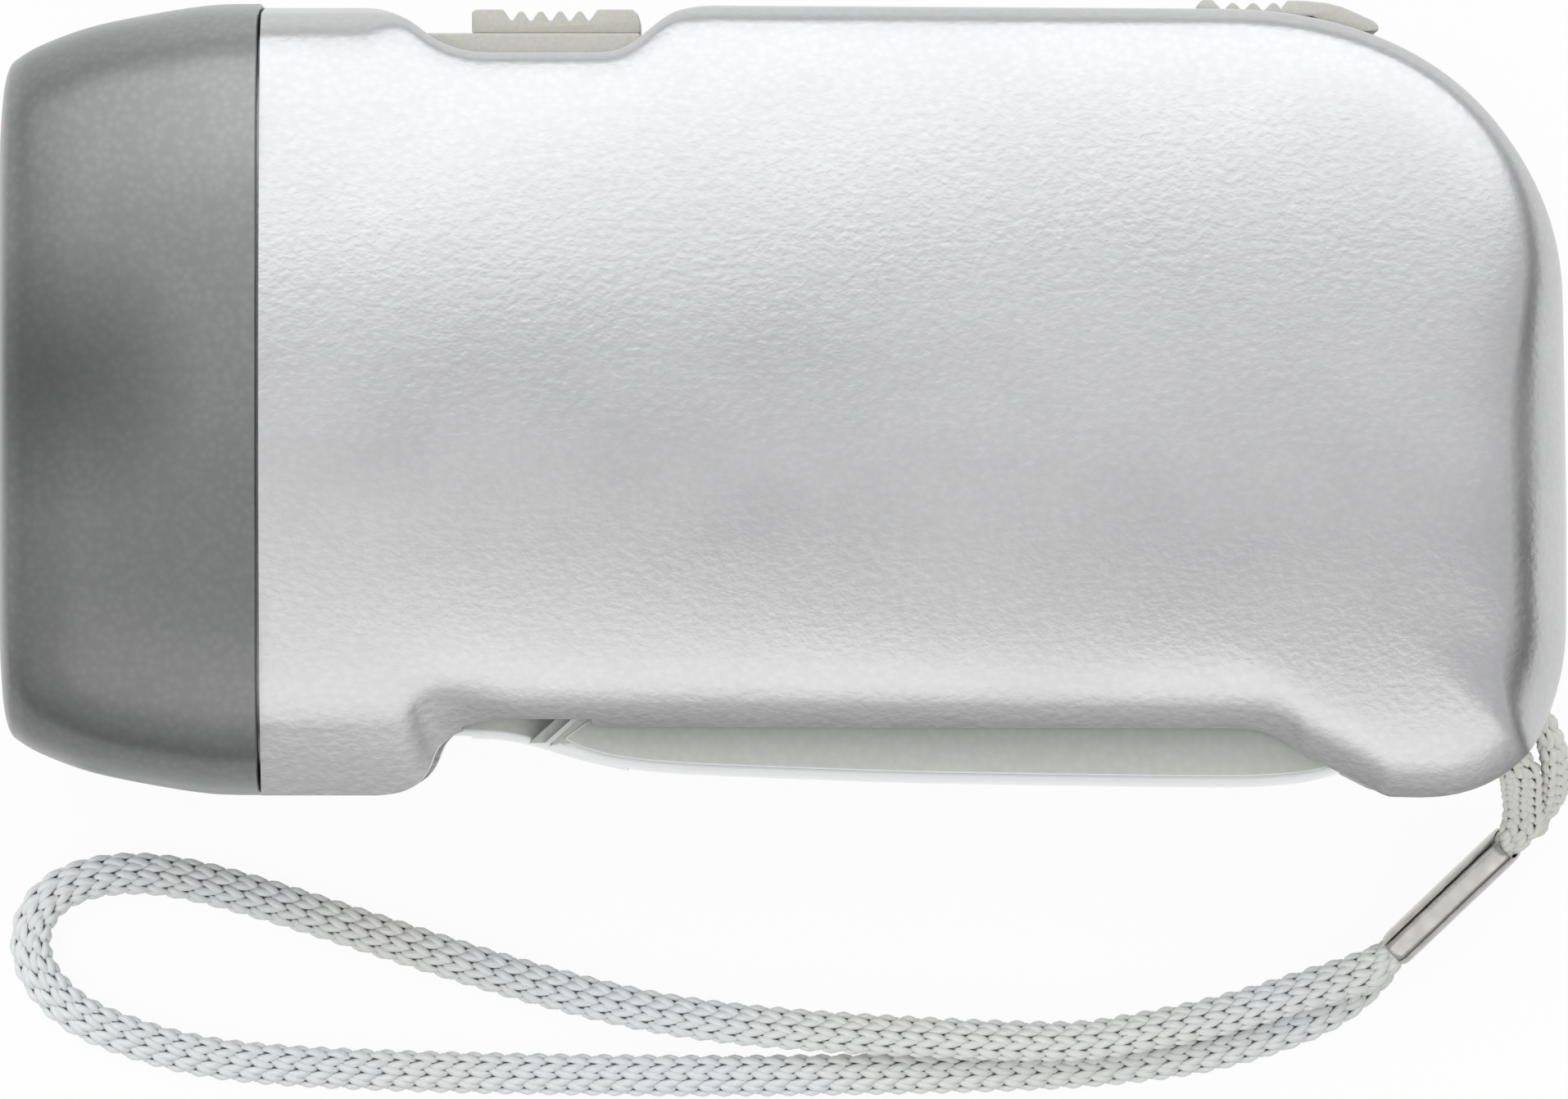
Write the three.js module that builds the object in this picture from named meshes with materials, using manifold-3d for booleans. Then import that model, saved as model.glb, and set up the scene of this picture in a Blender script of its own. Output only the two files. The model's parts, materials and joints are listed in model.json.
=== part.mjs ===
// Squeeze-lever dynamo torch with a wrist strap, lying on its side.
// Millimetres. +X runs from the lens to the strap end, +Y from the lever to the switch, and
// +Z up from the ground.
import * as THREE from 'three';
import { mergeVertices } from 'three/addons/utils/BufferGeometryUtils.js';
import Module from 'manifold-3d';

const wasm = await Module();
wasm.setup();

// Overall sizes.
const overallLength = 105;
const bodyHeight = 53.2;
const bodyThickness = 37;
const headLength = 17.6;
const lensProud = 0.3;

// Walls, gaps and tool overrun.
const bodyWall = 1.8;
const headWall = 1.6;
const fitGap = 0.3;
const runningGap = 0.3;
const partingGap = 0.3;
const overrun = 6;

// Facets.
const curveSteps = 5;
const roundSides = 18;
const smallSides = 10;
const skinSteps = 4;
const sectionSides = 28;

// Places that follow from the overall sizes.
const frontX = -overallLength / 2;
const rearX = overallLength / 2;
const seamX = frontX + headLength;
const bodyLength = rearX - seamX;
const halfHeight = bodyHeight / 2;
const halfThickness = bodyThickness / 2;

// The body's plan, from the seam along the top edge, round the rear and back along the lever's recess.
// A pair is a straight line to a point, and six numbers are a curve with two handles and its end.
// Lengths along X are shares of the body's length, heights are shares of its half height.
const bodyPlanShares = [
  [0, 0.996],
  [0.081, 0.996],
  [0.0995, 0.994, 0.113, 0.962, 0.1236, 0.936],
  [0.134, 0.906, 0.15, 0.872, 0.177, 0.872],
  [0.2574, 0.872],
  [0.28, 0.872, 0.286, 0.8985, 0.2975, 0.9286],
  [0.31, 0.962, 0.319, 1, 0.3467, 1],
  [0.748, 0.991],
  [0.835, 0.981, 0.906, 0.88, 0.95, 0.69],
  [0.98, 0.56, 0.9977, 0.42, 0.9977, 0.2444],
  [1, -0.3008],
  [1, -0.5827],
  [0.9989, -0.797, 0.9645, -1, 0.8867, -1],
  [0.8604, -0.998],
  [0.7952, -0.9],
  [0.7792, -0.872, 0.7677, -0.855, 0.7449, -0.8534],
  [0.2551, -0.8496],
  [0.2517, -0.8233],
  [0.1773, -0.8195],
  [0.1522, -0.8195, 0.1373, -0.8496, 0.1327, -0.9135],
  [0.1259, -0.966, 0.1178, -0.9925, 0.0904, -0.996],
  [0, -0.996],
];
// The skin's section is a superellipse of this power, up to a flat land of this share of the plan.
const sectionPower = 5;
const landShare = 0.5;
const skinTurnShare = 0.84;

// The hood, from the seam to the front face: distance from the seam as a share of the hood's depth, then
// half height and half width as shares of the body's.
const headStationShares = [
  [0, 1, 0.994],
  [0.2, 0.996, 0.988],
  [0.45, 0.971, 0.965],
  [0.67, 0.94, 0.93],
  [0.85, 0.897, 0.875],
  [0.935, 0.866, 0.835],
  [0.968, 0.846, 0.81],
  [0.988, 0.804, 0.755],
  [1, 0.737, 0.67],
];

// Neck ring that carries the hood.
const neckLength = 3;
const neckWall = 1.6;
const neckRoot = 1.5;

// Light unit. The lamps stand as far apart as their windows have room in the hood's face.
const windowRadius = 7.2;
const windowMargin = 0.4;
const domeRise = 1.1;
const lensThickness = 1.2;
const lensRim = 0.8;
const lensSideMargin = 0.9;
const reflectorDepth = 5;
const reflectorRim = 1.2;
const reflectorSideMargin = 1.2;
const bowlInset = 0.2;
const ledRadius = 2.5;
const ledFlangeRadius = 2.9;
const ledFlangeDepth = 1;
const ledLength = 6;
const lampBoardThickness = 1.2;
const lampBoardHalfHeight = 18.5;
const lampBoardHalfWidth = 8;
const [, faceHeightShare, faceWidthShare] = headStationShares.at(-1);
const faceHalfHeight = faceHeightShare * halfHeight;
const faceHalfWidth = faceWidthShare * halfThickness;
const lampHeight = faceHalfHeight - windowMargin - windowRadius;
const lensHalfHeight = lampHeight + windowRadius + lensRim;
const lensHalfWidth = faceHalfWidth - lensSideMargin;
const bowlRadius = windowRadius - bowlInset;
const reflectorHalfHeight = lampHeight + bowlRadius + reflectorRim;
const reflectorHalfWidth = faceHalfWidth - reflectorSideMargin;

// Switch. The plate's middle is at a share of the body's length from the seam.
const switchPlateLength = 14.6;
const switchPlateWidth = 14;
const switchPlateDepth = 3.2;
const switchPlateSink = 2;
const switchPlatePlaceShare = 0.20824;
const switchPlateTop = halfHeight - switchPlateSink;
const switchPlateX = seamX + switchPlatePlaceShare * bodyLength;
const plateX0 = switchPlateX - switchPlateLength / 2;
const plateX1 = switchPlateX + switchPlateLength / 2;
const plateBottomY = switchPlateTop - switchPlateDepth;
const knobSetback = 3.2;
const knobX = plateX0 + knobSetback;
const knobLength = 11.3;
const knobWidth = 10;
const knobHeight = 1.35;
const knobFloorHeight = 0.87;
const knobEndLength = 2.1;
const knobChamfer = 0.8;
const knobRidgeStart = 2.65;
const knobRidgeCount = 4;
const knobRidgePitch = 1.27;
const knobTravel = 3.2;
const knobStemStart = 4;
const knobStemLength = 3;
const knobStemWidth = 2.2;
const switchBodyLength = 9;
const switchBodyHeight = 5;
const switchBodyWidth = 6.4;
const switchBodyDrop = 2;
const switchBodyTop = plateBottomY - switchBodyDrop;
const switchGrooveDepth = 1.6;

// Lock slider, sunk in the top edge. The tail's points are distance along the slider and drop from its
// highest point, as shares of the slider's length and of the tail's drop.
const lockPlaceShare = 0.71968;
const lockX = seamX + lockPlaceShare * bodyLength;
const lockLength = 12.15;
const lockWidth = 9;
const lockProud = 0.33;
const lockRidgeDrop = 0.21;
const lockValleyDrop = 0.73;
const lockRecessDepth = 1.1;
const lockTopY = halfHeight + lockProud;
const lockRidgeTopY = lockTopY - lockRidgeDrop;
const lockValleyY = lockTopY - lockValleyDrop;
const lockRecessY = halfHeight - lockRecessDepth;
const lockBumpLength = 1.4;
const lockRidgeStart = 1.55;
const lockRidgeCount = 3;
const lockRidgePitch = 1.35;
const lockTailDrop = 2;
const lockTailShares = [
  [0.494, 0.025],
  [0.716, 0.105],
  [0.872, 0.44],
  [0.971, 0.715],
  [1, 0.89],
  [0.979, 1.025],
  [0.897, 0.855],
  [0.741, 0.565],
];
const lockTravel = 3.5;
const lockStemStart = 1.5;
const lockStemLength = 2.5;
const lockStemWidth = 3;
const lockArmHeight = 1.4;
const lockArmDepth = 2.5;
const lockHookHeight = 1.2;
const lockHookLength = 5.7;
const lockHookDrop = 5.1;
const lockHookRiseShare = 0.6094;
const lockHookStandoff = 1.63;
const lockHookRootLength = 1.5;
const lockArmTop = halfHeight - lockArmDepth;

// Squeeze lever. It lies in the recess of the body's plan: its pivot and both ends of its grip are at shares
// of the body's length from the seam, and its depths count up from the body's lowest line.
const pivotPlaceShare = 0.113272;
const gripSpanShares = [0.259725, 0.863844];
const pivotDepth = 6.6;
const pivotPinRadius = 1.4;
const pivotBossRadius = 3;
const pivotPinInset = 6;
const leverSideMargin = 6.5;
const leverWall = 1.6;
const leverFloor = 1.8;
const leverArmSideMargin = 2.8;
const leverArmCheek = 2.7;
const leverTopDepth = 5.6;
const leverArmEndDepth = 7.1;
const leverArmFloorDepth = 5.55;
const leverEdgeDepth = 0.9;
const leverCheekLength = 4.2;
const springRadius = 2.3;
const springWireRadius = 0.4;
const springEndGap = 2.5;
const springTurns = 3.25;
const springTurnSteps = 10;
const springSides = 6;
const springFootLength = 4;
const springLegLength = 7.5;
const springLegDrop = 0.3;
const slotSetback = 0.4;
const slotTail = 2.1;
const pivotX = seamX + pivotPlaceShare * bodyLength;
const pivotY = pivotDepth - halfHeight;
const pivotPinHalfLength = halfThickness - pivotPinInset;
const leverHalfWidth = halfThickness - leverSideMargin;
const leverArmHalfWidth = leverHalfWidth - leverArmSideMargin;
const leverArmHollow = leverArmHalfWidth - leverArmCheek;
const [leverGripStart, leverGripEnd] = gripSpanShares.map((share) => seamX + share * bodyLength);
const leverGripLength = leverGripEnd - leverGripStart;
const leverTopY = leverTopDepth - halfHeight;
const leverArmEndTopY = leverArmEndDepth - halfHeight;
const leverArmFloorY = leverArmFloorDepth - halfHeight;
const springHalfLength = leverArmHollow - springEndGap;
const slotStart = pivotX + slotSetback;
const slotEnd = leverGripEnd + slotTail;
// The grip's lower contour: distance along the grip as a share of its length, and height as a share of the
// body's half height.
const gripContourShares = [
  [0, -0.92],
  [0.055, -0.9417],
  [0.133, -0.951],
  [0.394, -0.97],
  [0.604, -0.9774],
  [0.8125, -0.981],
  [0.892, -0.97],
  [0.945, -0.9436],
  [0.97, -0.917],
  [1, -0.88],
];
// The grip's crowned underside: half width and height over the contour, as shares.
const gripCrownShares = [
  [1, 1],
  [0.985, 0.6],
  [0.94, 0.3],
  [0.8, 0.1],
  [0.4, 0],
];
// The arm between pivot and grip: distance from the pivot to the grip and height, as shares.
const armContourShares = [
  [0.79, -0.891],
  [0.58, -0.8684],
  [0.36, -0.859],
];

// Rack on the lever and gear train. The rack's outer edge is a share of the body's length from the pivot.
const rackModule = 1;
const rackReachShare = 0.775172;
const rackRim = 2.5;
const rackHalfThickness = 2.5;
const rackFootDrop = 5.13;
const rackEndRise = 2.14;
const rackTeethStartAngle = 2.4;
const rackBlankAngle = 3.6;
const pinionTeeth = 12;
const meshAngle = 8.5;
const wheelModule = 0.6;
const wheelTeeth = 32;
const climbSpread = 7.5;
const pressureAngle = 20;
const toothPlayShare = 0.2;
const wheelTipShare = 0.75;
const pinionTipShare = 0.9;
const toothRootShare = 1.25;
const axleRadius = 1;
const rackRadius = rackReachShare * bodyLength - rackRim - toothRootShare * rackModule;
const rackTipRadius = rackRadius - wheelTipShare * rackModule;

// Heights of the layers of the gear train over the middle plane.
const pinionHalfHeight = 3;
const crownTop = 4.9;
const wheelBottom = 3.2;
const wheelTop = 5.2;
const wheelWebTop = 6.2;
const crownRadius = 5.2;
const crownTeeth = 8;
const crownToothDepth = 0.7;
const wheelRecessRadius = 6.9;
const wheelWebRadius = 8;
const pawlSpread = 34;
const secondPinionBottom = 2.95;
const secondWheelBottom = 6.8;
const secondWheelTop = 8.8;
const flywheelRadius = 10.5;
const flywheelBottom = -0.5;
const flywheelTop = 2.5;
const rotorSleeveRadius = 1.9;
const rotorPinionBottom = 6.6;
const rotorPinionTop = 9;
const magnetRadius = 6.3;
const magnetBottom = -8;
const magnetTop = -0.8;
const axleStandoff = 3.7;
const axleBottom = axleStandoff + bodyWall - halfThickness;
const plateBottom = 9.3;
const plateThickness = 1.2;
const plateRadius = 3.2;
const bossRadius = 2.4;

// Stator.
const coreHalfWidth = 10;
const coreLegWidth = 3.8;
const coreLegDrop = 6;
const coilHeadroom = 8.6;
const flywheelGap = 1.2;
const coreYoke = 4;
const coreBottom = -6.5;
const coreTop = -2.5;
const poleGap = 0.6;
const bobbinLength = 11.6;
const bobbinWall = 0.7;
const bobbinFlange = 1;
const coilDepth = 2.4;

// Circuit board, battery and wires.
const boardStandoff = 7.4;
const boardHeadroom = 7.5;
const boardFootroom = 10.1;
const boardThickness = 1.2;
const boardZ = -5.3;
const diodeLength = 3.6;
const diodeWidth = 1.8;
const diodeCount = 4;
const diodePitchShare = 0.18;
const batteryRadius = 5.8;
const cellCount = 3;
const cellGroove = 0.3;
const batteryPlaceShare = 0.451;
const batterySetback = 7;
const batteryFootroom = 1.9;
const batteryHeadroom = 6.8;
const wireRadius = 0.5;
const wireSpacing = 2;
const wireSteps = 8;

// Screws that join the shells, at shares of the body's length from the seam and of its half height.
const screwPlaceShares = [
  [0.05, 0.77],
  [0.04, -0.8],
  [0.918, 0.47],
  [0.93, -0.45],
];
const screwHeadRadius = 2.4;
const screwHeadHeight = 1.8;
const screwShankRadius = 1.2;
const screwSink = 4.1;
const screwHeadZ = screwSink - halfThickness;
const screwTipZ = 9;
const screwBossRadius = 2.8;
const driverSlot = 0.6;
const driverDepth = 0.9;
const driverReachShare = 0.7;

// Strap and its pin.
const strapPinInset = 4.9;
const strapPinDepth = 6;
const strapPinRadius = 1.2;
const strapPinHalfLength = 6;
const strapPocketRadius = 4.4;
const strapPocketHalfWidth = 3;
const strapBossRadius = 3;
const cordRadius = 1;
const cordSides = 8;
const cordSmallSteps = 16;
const cordLoopSteps = 42;
const ferruleWidth = 2.4;
const ferruleDepth = 4.8;
const ferruleTop = new THREE.Vector3(49.6, -30.2, 5.6);
const ferruleFoot = new THREE.Vector3(42.2, -37.4, 3);

// The strap's small loop over its pin, from the ferrule and back, over the ground.
const smallLoopRoute = [
  [50.02, -29.8, 4.5],
  [51.5, -28.4, 5.05],
  [52.6, -26.9, 8.5],
  [52.6, -25, 13],
  [51.8, -22.4, 16.9],
  [50.2, -19.6, 18.4],
  [47.6, -17.95, 18.5],
  [45.1, -19.3, 18.5],
  [45, -21.9, 18.4],
  [46.9, -23.35, 18.2],
  [48.9, -23.9, 17.9],
  [50, -25, 16.3],
  [50.3, -26.3, 12.6],
  [50.6, -27.6, 9.4],
  [50.7, -29.05, 7.35],
  [49.6, -30.2, 6.85],
];
// The wrist loop, from the ferrule round the hand and back, over the ground.
const wristLoopRoute = [
  [41.78, -37.8, 4.09],
  [40.7, -38.8, 3.75],
  [37.4, -39.8, 3.65],
  [30.9, -41.8, 3.6],
  [24.8, -43.1, 3.6],
  [17.8, -43.8, 3.6],
  [7.8, -43.7, 3.6],
  [-3.1, -42.6, 3.3],
  [-16.8, -39.9, 2.1],
  [-28.6, -36.2, 1.1],
  [-37.6, -33.5, 1.1],
  [-45.3, -32.3, 1.1],
  [-50.3, -33.8, 1.1],
  [-51.8, -37.2, 1.1],
  [-50.2, -40.5, 1.1],
  [-46.1, -43.1, 1.1],
  [-35.7, -45.4, 1.1],
  [-24, -46.2, 1.1],
  [-9.7, -46.2, 1.1],
  [2.5, -46, 1.1],
  [14.9, -45.9, 1.1],
  [26.7, -45, 1.1],
  [33.8, -43.3, 1.1],
  [38.6, -41.1, 1.1],
  [41.1, -38.45, 1.4],
  [42.2, -37.4, 1.77],
];

// Named finishes.
function finish(color, roughness, metalness) {
  return new THREE.MeshStandardMaterial({ color, roughness, metalness });
}

const silverPaint = () => finish(0xd2d4d6, 0.42, 0.6);
const smokedPlastic = () => finish(0x74787a, 0.3, 0);
const clearPlastic = () => finish(0xe4eaec, 0.08, 0);
const chromedPlastic = () => finish(0xe2e4e6, 0.08, 1);
const leverGrey = () => finish(0xb0b4ac, 0.45, 0);
const switchGrey = () => finish(0xc4c4bc, 0.5, 0);
const steel = () => finish(0xa6a8aa, 0.3, 1);
const whiteNylon = () => finish(0xe8e6dc, 0.5, 0);
const magnetGrey = () => finish(0x3c3c40, 0.6, 0.3);
const brass = () => finish(0xb89a5a, 0.35, 1);
const copper = () => finish(0xb4622c, 0.35, 1);
const boardGreen = () => finish(0x2f6b45, 0.5, 0);
const blackPlastic = () => finish(0x202022, 0.5, 0);
const cellWrap = () => finish(0x3f7f55, 0.4, 0);
const redWire = () => finish(0xa02820, 0.5, 0);
const ledClear = () => finish(0xf4f6fa, 0.1, 0);
const cordGrey = () => finish(0xc8cdd0, 0.9, 0);

const torch = new THREE.Group();
torch.position.z = halfThickness;
const part = new THREE.Group();
part.add(torch);
// The origin is on the ground, under the middle of the torch.
part.position.y = (halfHeight - lockTopY) / 2;

// Closed geometry with merged corners and its faces turned out, as a solid that can be joined and cut.
function solidOf(geometry) {
  const plain = geometry.clone();
  plain.deleteAttribute('normal');
  plain.deleteAttribute('uv');
  const merged = mergeVertices(plain);
  const positions = merged.attributes.position.array;
  const index = Array.from(merged.index.array);
  let volume = 0;
  const { itemSize } = merged.attributes.position;
  for (let t = 0; t < index.length; t += 3) {
    const corner = (k) => new THREE.Vector3().fromArray(positions, index[t + k] * itemSize);
    const [a, b, c] = [0, 1, 2].map(corner);
    volume += a.dot(b.cross(c));
  }
  if (volume < 0) {
    index.reverse();
  }
  return new wasm.Manifold(new wasm.Mesh({
    numProp: 3,
    vertProperties: new Float32Array(positions),
    triVerts: new Uint32Array(index),
  }));
}

function geometryOf(solid) {
  const mesh = solid.getMesh();
  const geometry = new THREE.BufferGeometry();
  geometry.setAttribute('position', new THREE.BufferAttribute(mesh.vertProperties, 3));
  geometry.setIndex(new THREE.BufferAttribute(mesh.triVerts, 1));
  geometry.computeVertexNormals();
  return geometry;
}

function addMesh(name, solid, material, parent = torch) {
  const mesh = new THREE.Mesh(geometryOf(solid), material);
  mesh.name = name;
  parent.add(mesh);
  return mesh;
}

const joined = (...solids) => solids.reduce((whole, piece) => whole.add(piece));
const cutBy = (solid, ...tools) => tools.reduce((left, tool) => left.subtract(tool), solid);

// Basic solids.
function block(x0, x1, y0, y1, z0, z1) {
  const box = new THREE.BoxGeometry(x1 - x0, y1 - y0, z1 - z0);
  box.translate((x0 + x1) / 2, (y0 + y1) / 2, (z0 + z1) / 2);
  return solidOf(box);
}

function upright(radius, x, y, z0, z1, sides = roundSides) {
  const drum = new THREE.CylinderGeometry(radius, radius, z1 - z0, sides);
  drum.rotateX(Math.PI / 2);
  drum.translate(x, y, (z0 + z1) / 2);
  return solidOf(drum);
}

function extruded(shape, z0, z1, steps = curveSteps) {
  const options = { depth: z1 - z0, bevelEnabled: false, curveSegments: steps };
  const prism = new THREE.ExtrudeGeometry(shape, options);
  prism.translate(0, 0, z0);
  return solidOf(prism);
}

// A profile of [radius, z] pairs turned about an upright axis through x, y.
function turned(profile, x, y, sides = roundSides) {
  const lathe = new THREE.LatheGeometry(profile.map(([radius, z]) => new THREE.Vector2(radius, z)), sides);
  lathe.rotateX(Math.PI / 2);
  lathe.translate(x, y, 0);
  return solidOf(lathe);
}

// A profile of [radius, x] pairs turned about an axis along X at height y.
function turnedAlongX(profile, y, sides = roundSides) {
  const lathe = new THREE.LatheGeometry(profile.map(([radius, x]) => new THREE.Vector2(radius, x)), sides);
  lathe.rotateZ(-Math.PI / 2);
  lathe.translate(0, y, 0);
  return solidOf(lathe);
}

function tubeAlong(points, radius, steps, sides = cordSides) {
  const section = new THREE.Shape();
  for (let k = 0; k < sides; k += 1) {
    const angle = (2 * Math.PI * k) / sides;
    const corner = [radius * Math.cos(angle), radius * Math.sin(angle)];
    section[k === 0 ? 'moveTo' : 'lineTo'](...corner);
  }
  const path = new THREE.CatmullRomCurve3(points.map((p) => new THREE.Vector3(...p)), false, 'centripetal');
  return solidOf(new THREE.ExtrudeGeometry(section, { steps, extrudePath: path, bevelEnabled: false }));
}

// A closed skin through rings of equal count. The plan of one ring fills both ends.
function ringSolid(rings, plan) {
  const count = rings[0].length;
  const positions = rings.flat().flatMap((p) => [p.x, p.y, p.z]);
  const index = [];
  for (let r = 0; r + 1 < rings.length; r += 1) {
    for (let k = 0; k < count; k += 1) {
      const a = r * count + k;
      const b = r * count + ((k + 1) % count);
      index.push(a, b, a + count, b, b + count, a + count);
    }
  }
  const last = (rings.length - 1) * count;
  const turn = THREE.ShapeUtils.isClockWise(plan) ? -1 : 1;
  for (const [a, b, c] of THREE.ShapeUtils.triangulateShape(plan, [])) {
    const [p, q] = turn > 0 ? [b, c] : [c, b];
    index.push(a, q, p);
    index.push(last + a, last + p, last + q);
  }
  const geometry = new THREE.BufferGeometry();
  geometry.setAttribute('position', new THREE.Float32BufferAttribute(positions, 3));
  geometry.setIndex(index);
  return solidOf(geometry);
}

// Both factors of the superellipse at a turn between 0, the parting plane, and 1, the land.
function superellipse(turnShare) {
  const angle = (turnShare * Math.PI) / 2;
  const root = 2 / sectionPower;
  return [Math.cos(angle) ** root, Math.sin(angle) ** root];
}

// The body's plan drawn in towards its spine by a share.
function bodyPlan(planShare) {
  const shape = new THREE.Shape();
  const reach = 1 - ((1 - planShare) * halfHeight) / bodyLength;
  const alongX = (share) => seamX + share * bodyLength * reach;
  const alongY = (share) => share * halfHeight * planShare;
  const place = (step) => step.map((share, k) => (k % 2 ? alongY(share) : alongX(share)));
  bodyPlanShares.forEach((step, k) => {
    const values = place(step);
    if (k === 0) {
      shape.moveTo(...values);
    } else if (values.length === 2) {
      shape.lineTo(...values);
    } else {
      shape.bezierCurveTo(...values);
    }
  });
  return shape.getPoints(curveSteps);
}

// One side of the body's skin, drawn in by an inset. Side is 1 for the near half and -1 for the far half.
function bodySkin(side, inset, z0, frontReach) {
  const rings = [];
  const addRing = (planShare, z) => {
    const points = bodyPlan(planShare - inset / halfHeight);
    points.unshift(new THREE.Vector2(points[0].x - frontReach, points[0].y));
    points.push(new THREE.Vector2(points.at(-1).x - frontReach, points.at(-1).y));
    rings.push(points.map((p) => new THREE.Vector3(p.x, p.y, side * z)));
  };
  addRing(1, z0);
  for (let k = 1; k <= skinSteps; k += 1) {
    const [planShare, heightShare] = superellipse((skinTurnShare * k) / skinSteps);
    addRing(planShare, halfThickness * heightShare - inset);
  }
  addRing(landShare, halfThickness - inset);
  return ringSolid(rings, rings[0].map((p) => new THREE.Vector2(p.x, p.y)));
}

// A solid through stations of x, half height and half width, with the body's section.
function sectionSolid(stations) {
  const ring = ([x, h, w]) => Array.from({ length: sectionSides }, (_, k) => {
    const angle = (2 * Math.PI * k) / sectionSides;
    const root = 2 / sectionPower;
    const y = h * Math.sign(Math.cos(angle)) * Math.abs(Math.cos(angle)) ** root;
    const z = w * Math.sign(Math.sin(angle)) * Math.abs(Math.sin(angle)) ** root;
    return new THREE.Vector3(x, y, z);
  });
  const rings = stations.map(ring);
  return ringSolid(rings, rings[0].map((p) => new THREE.Vector2(p.y, p.z)));
}

// Gear outlines. Half the angle of a tooth, or of a rack's space, at a radius on the involute of a circle.
const involute = (angle) => Math.tan(angle) - angle;
const pressure = THREE.MathUtils.degToRad(pressureAngle);

function flankAngle(pitchRadius, teeth, play, radius) {
  const base = pitchRadius * Math.cos(pressure);
  const at = Math.acos(Math.min(1, base / Math.max(radius, base)));
  return Math.PI / (2 * teeth) + play / (2 * pitchRadius) + involute(pressure) - involute(at);
}

// A spur gear with its first tooth on +X.
function gearShape(teeth, gearModule, tipShare, bore) {
  const pitchRadius = (teeth * gearModule) / 2;
  const base = pitchRadius * Math.cos(pressure);
  const rootRadius = pitchRadius - toothRootShare * gearModule;
  const tipRadius = pitchRadius + tipShare * gearModule;
  const startRadius = Math.max(base, rootRadius);
  const flank = [rootRadius, startRadius, tipRadius];
  if (startRadius - rootRadius < gearModule * toothPlayShare) {
    flank.shift();
  }
  const play = -toothPlayShare * gearModule;
  const shape = new THREE.Shape();
  for (let tooth = 0; tooth < teeth; tooth += 1) {
    const middle = (2 * Math.PI * tooth) / teeth;
    const rising = flank.map((r) => [r, middle - flankAngle(pitchRadius, teeth, play, r)]);
    const falling = flank.map((r) => [r, middle + flankAngle(pitchRadius, teeth, play, r)]).reverse();
    [...rising, ...falling].forEach(([r, angle], k) => {
      const first = tooth === 0 && k === 0;
      shape[first ? 'moveTo' : 'lineTo'](r * Math.cos(angle), r * Math.sin(angle));
    });
  }
  shape.closePath();
  if (bore > 0) {
    shape.holes.push(new THREE.Path().absarc(0, 0, bore, 0, 2 * Math.PI, true));
  }
  return shape;
}

function gearSolid(teeth, gearModule, tipShare, bore, z0, z1) {
  return extruded(gearShape(teeth, gearModule, tipShare, bore), z0, z1, roundSides / 2);
}

// Polar place about a centre, with the angle in degrees.
function around(centre, radius, degrees) {
  const angle = THREE.MathUtils.degToRad(degrees);
  return new THREE.Vector2(centre.x + radius * Math.cos(angle), centre.y + radius * Math.sin(angle));
}

// Centres of the gear train. The flywheel turns just below the winding, as high as the shell lets it.
// Two steps of one length climb to it, the first steeper than the second by twice the spread.
const pivot = new THREE.Vector2(pivotX, pivotY);
const yokeTopY = halfHeight - coilHeadroom;
const yokeBottomY = yokeTopY - coreYoke;
const tubeGrow = fitGap + bobbinWall;
const flangeGrow = tubeGrow + fitGap + coilDepth;
const rotorY = yokeBottomY - flangeGrow - flywheelGap - flywheelRadius;
const pinionRadius = (pinionTeeth * rackModule) / 2;
const gearSpacing = ((wheelTeeth + pinionTeeth) * wheelModule) / 2;
const firstCentre = around(pivot, rackRadius - pinionRadius, meshAngle);
const climbReach = 2 * gearSpacing * Math.cos(THREE.MathUtils.degToRad(climbSpread));
const climb = THREE.MathUtils.radToDeg(Math.asin((rotorY - firstCentre.y) / climbReach));
const secondAngle = 180 - climb - climbSpread;
const rotorAngle = 180 - climb + climbSpread;
const secondCentre = around(firstCentre, gearSpacing, secondAngle);
const rotorCentre = around(secondCentre, gearSpacing, rotorAngle);
const gearCentres = [firstCentre, secondCentre, rotorCentre];
const halfToothAngle = 180 / pinionTeeth;
const boreRadius = axleRadius + runningGap;
const plateTop = plateBottom + plateThickness;

// Places shared by the shells and what they hold.
const innerDepth = halfThickness - bodyWall;
const bodyPlace = ([x, y]) => new THREE.Vector2(seamX + x * bodyLength, y * halfHeight);
const screwPlaces = screwPlaceShares.map(bodyPlace);
const strapPin = new THREE.Vector2(rearX - strapPinInset, strapPinDepth - halfHeight);
const headDepth = headLength - lensProud;
const boardBottomY = pivotY + boardFootroom;
const boardTopY = halfHeight - boardHeadroom;
const batteryX = seamX + batteryPlaceShare * (rotorCentre.x - flywheelRadius - seamX);
const boardStartX = batteryX - batterySetback;
const boardEndX = rotorCentre.x - coreHalfWidth - boardStandoff;
const batteryStartY = boardBottomY + batteryFootroom;
const switchBodyBottom = switchBodyTop - switchBodyHeight;
const batteryLength = switchBodyBottom - batteryHeadroom - batteryStartY;
const cellHeight = batteryLength / cellCount;
const boardPosts = [
  new THREE.Vector2(boardStartX + bossRadius, boardTopY - bossRadius),
  new THREE.Vector2(boardEndX - bossRadius, boardBottomY + bossRadius),
];
const corePosts = [-1, 1].map((end) => new THREE.Vector2(
  rotorCentre.x + end * (coreHalfWidth - coreLegWidth / 2),
  yokeTopY - coreLegWidth / 2,
));

// Bosses stand on the inner wall, so their feet reach into it and the skin trims them.
const bossFoot = innerDepth + bodyWall / 2;

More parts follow.
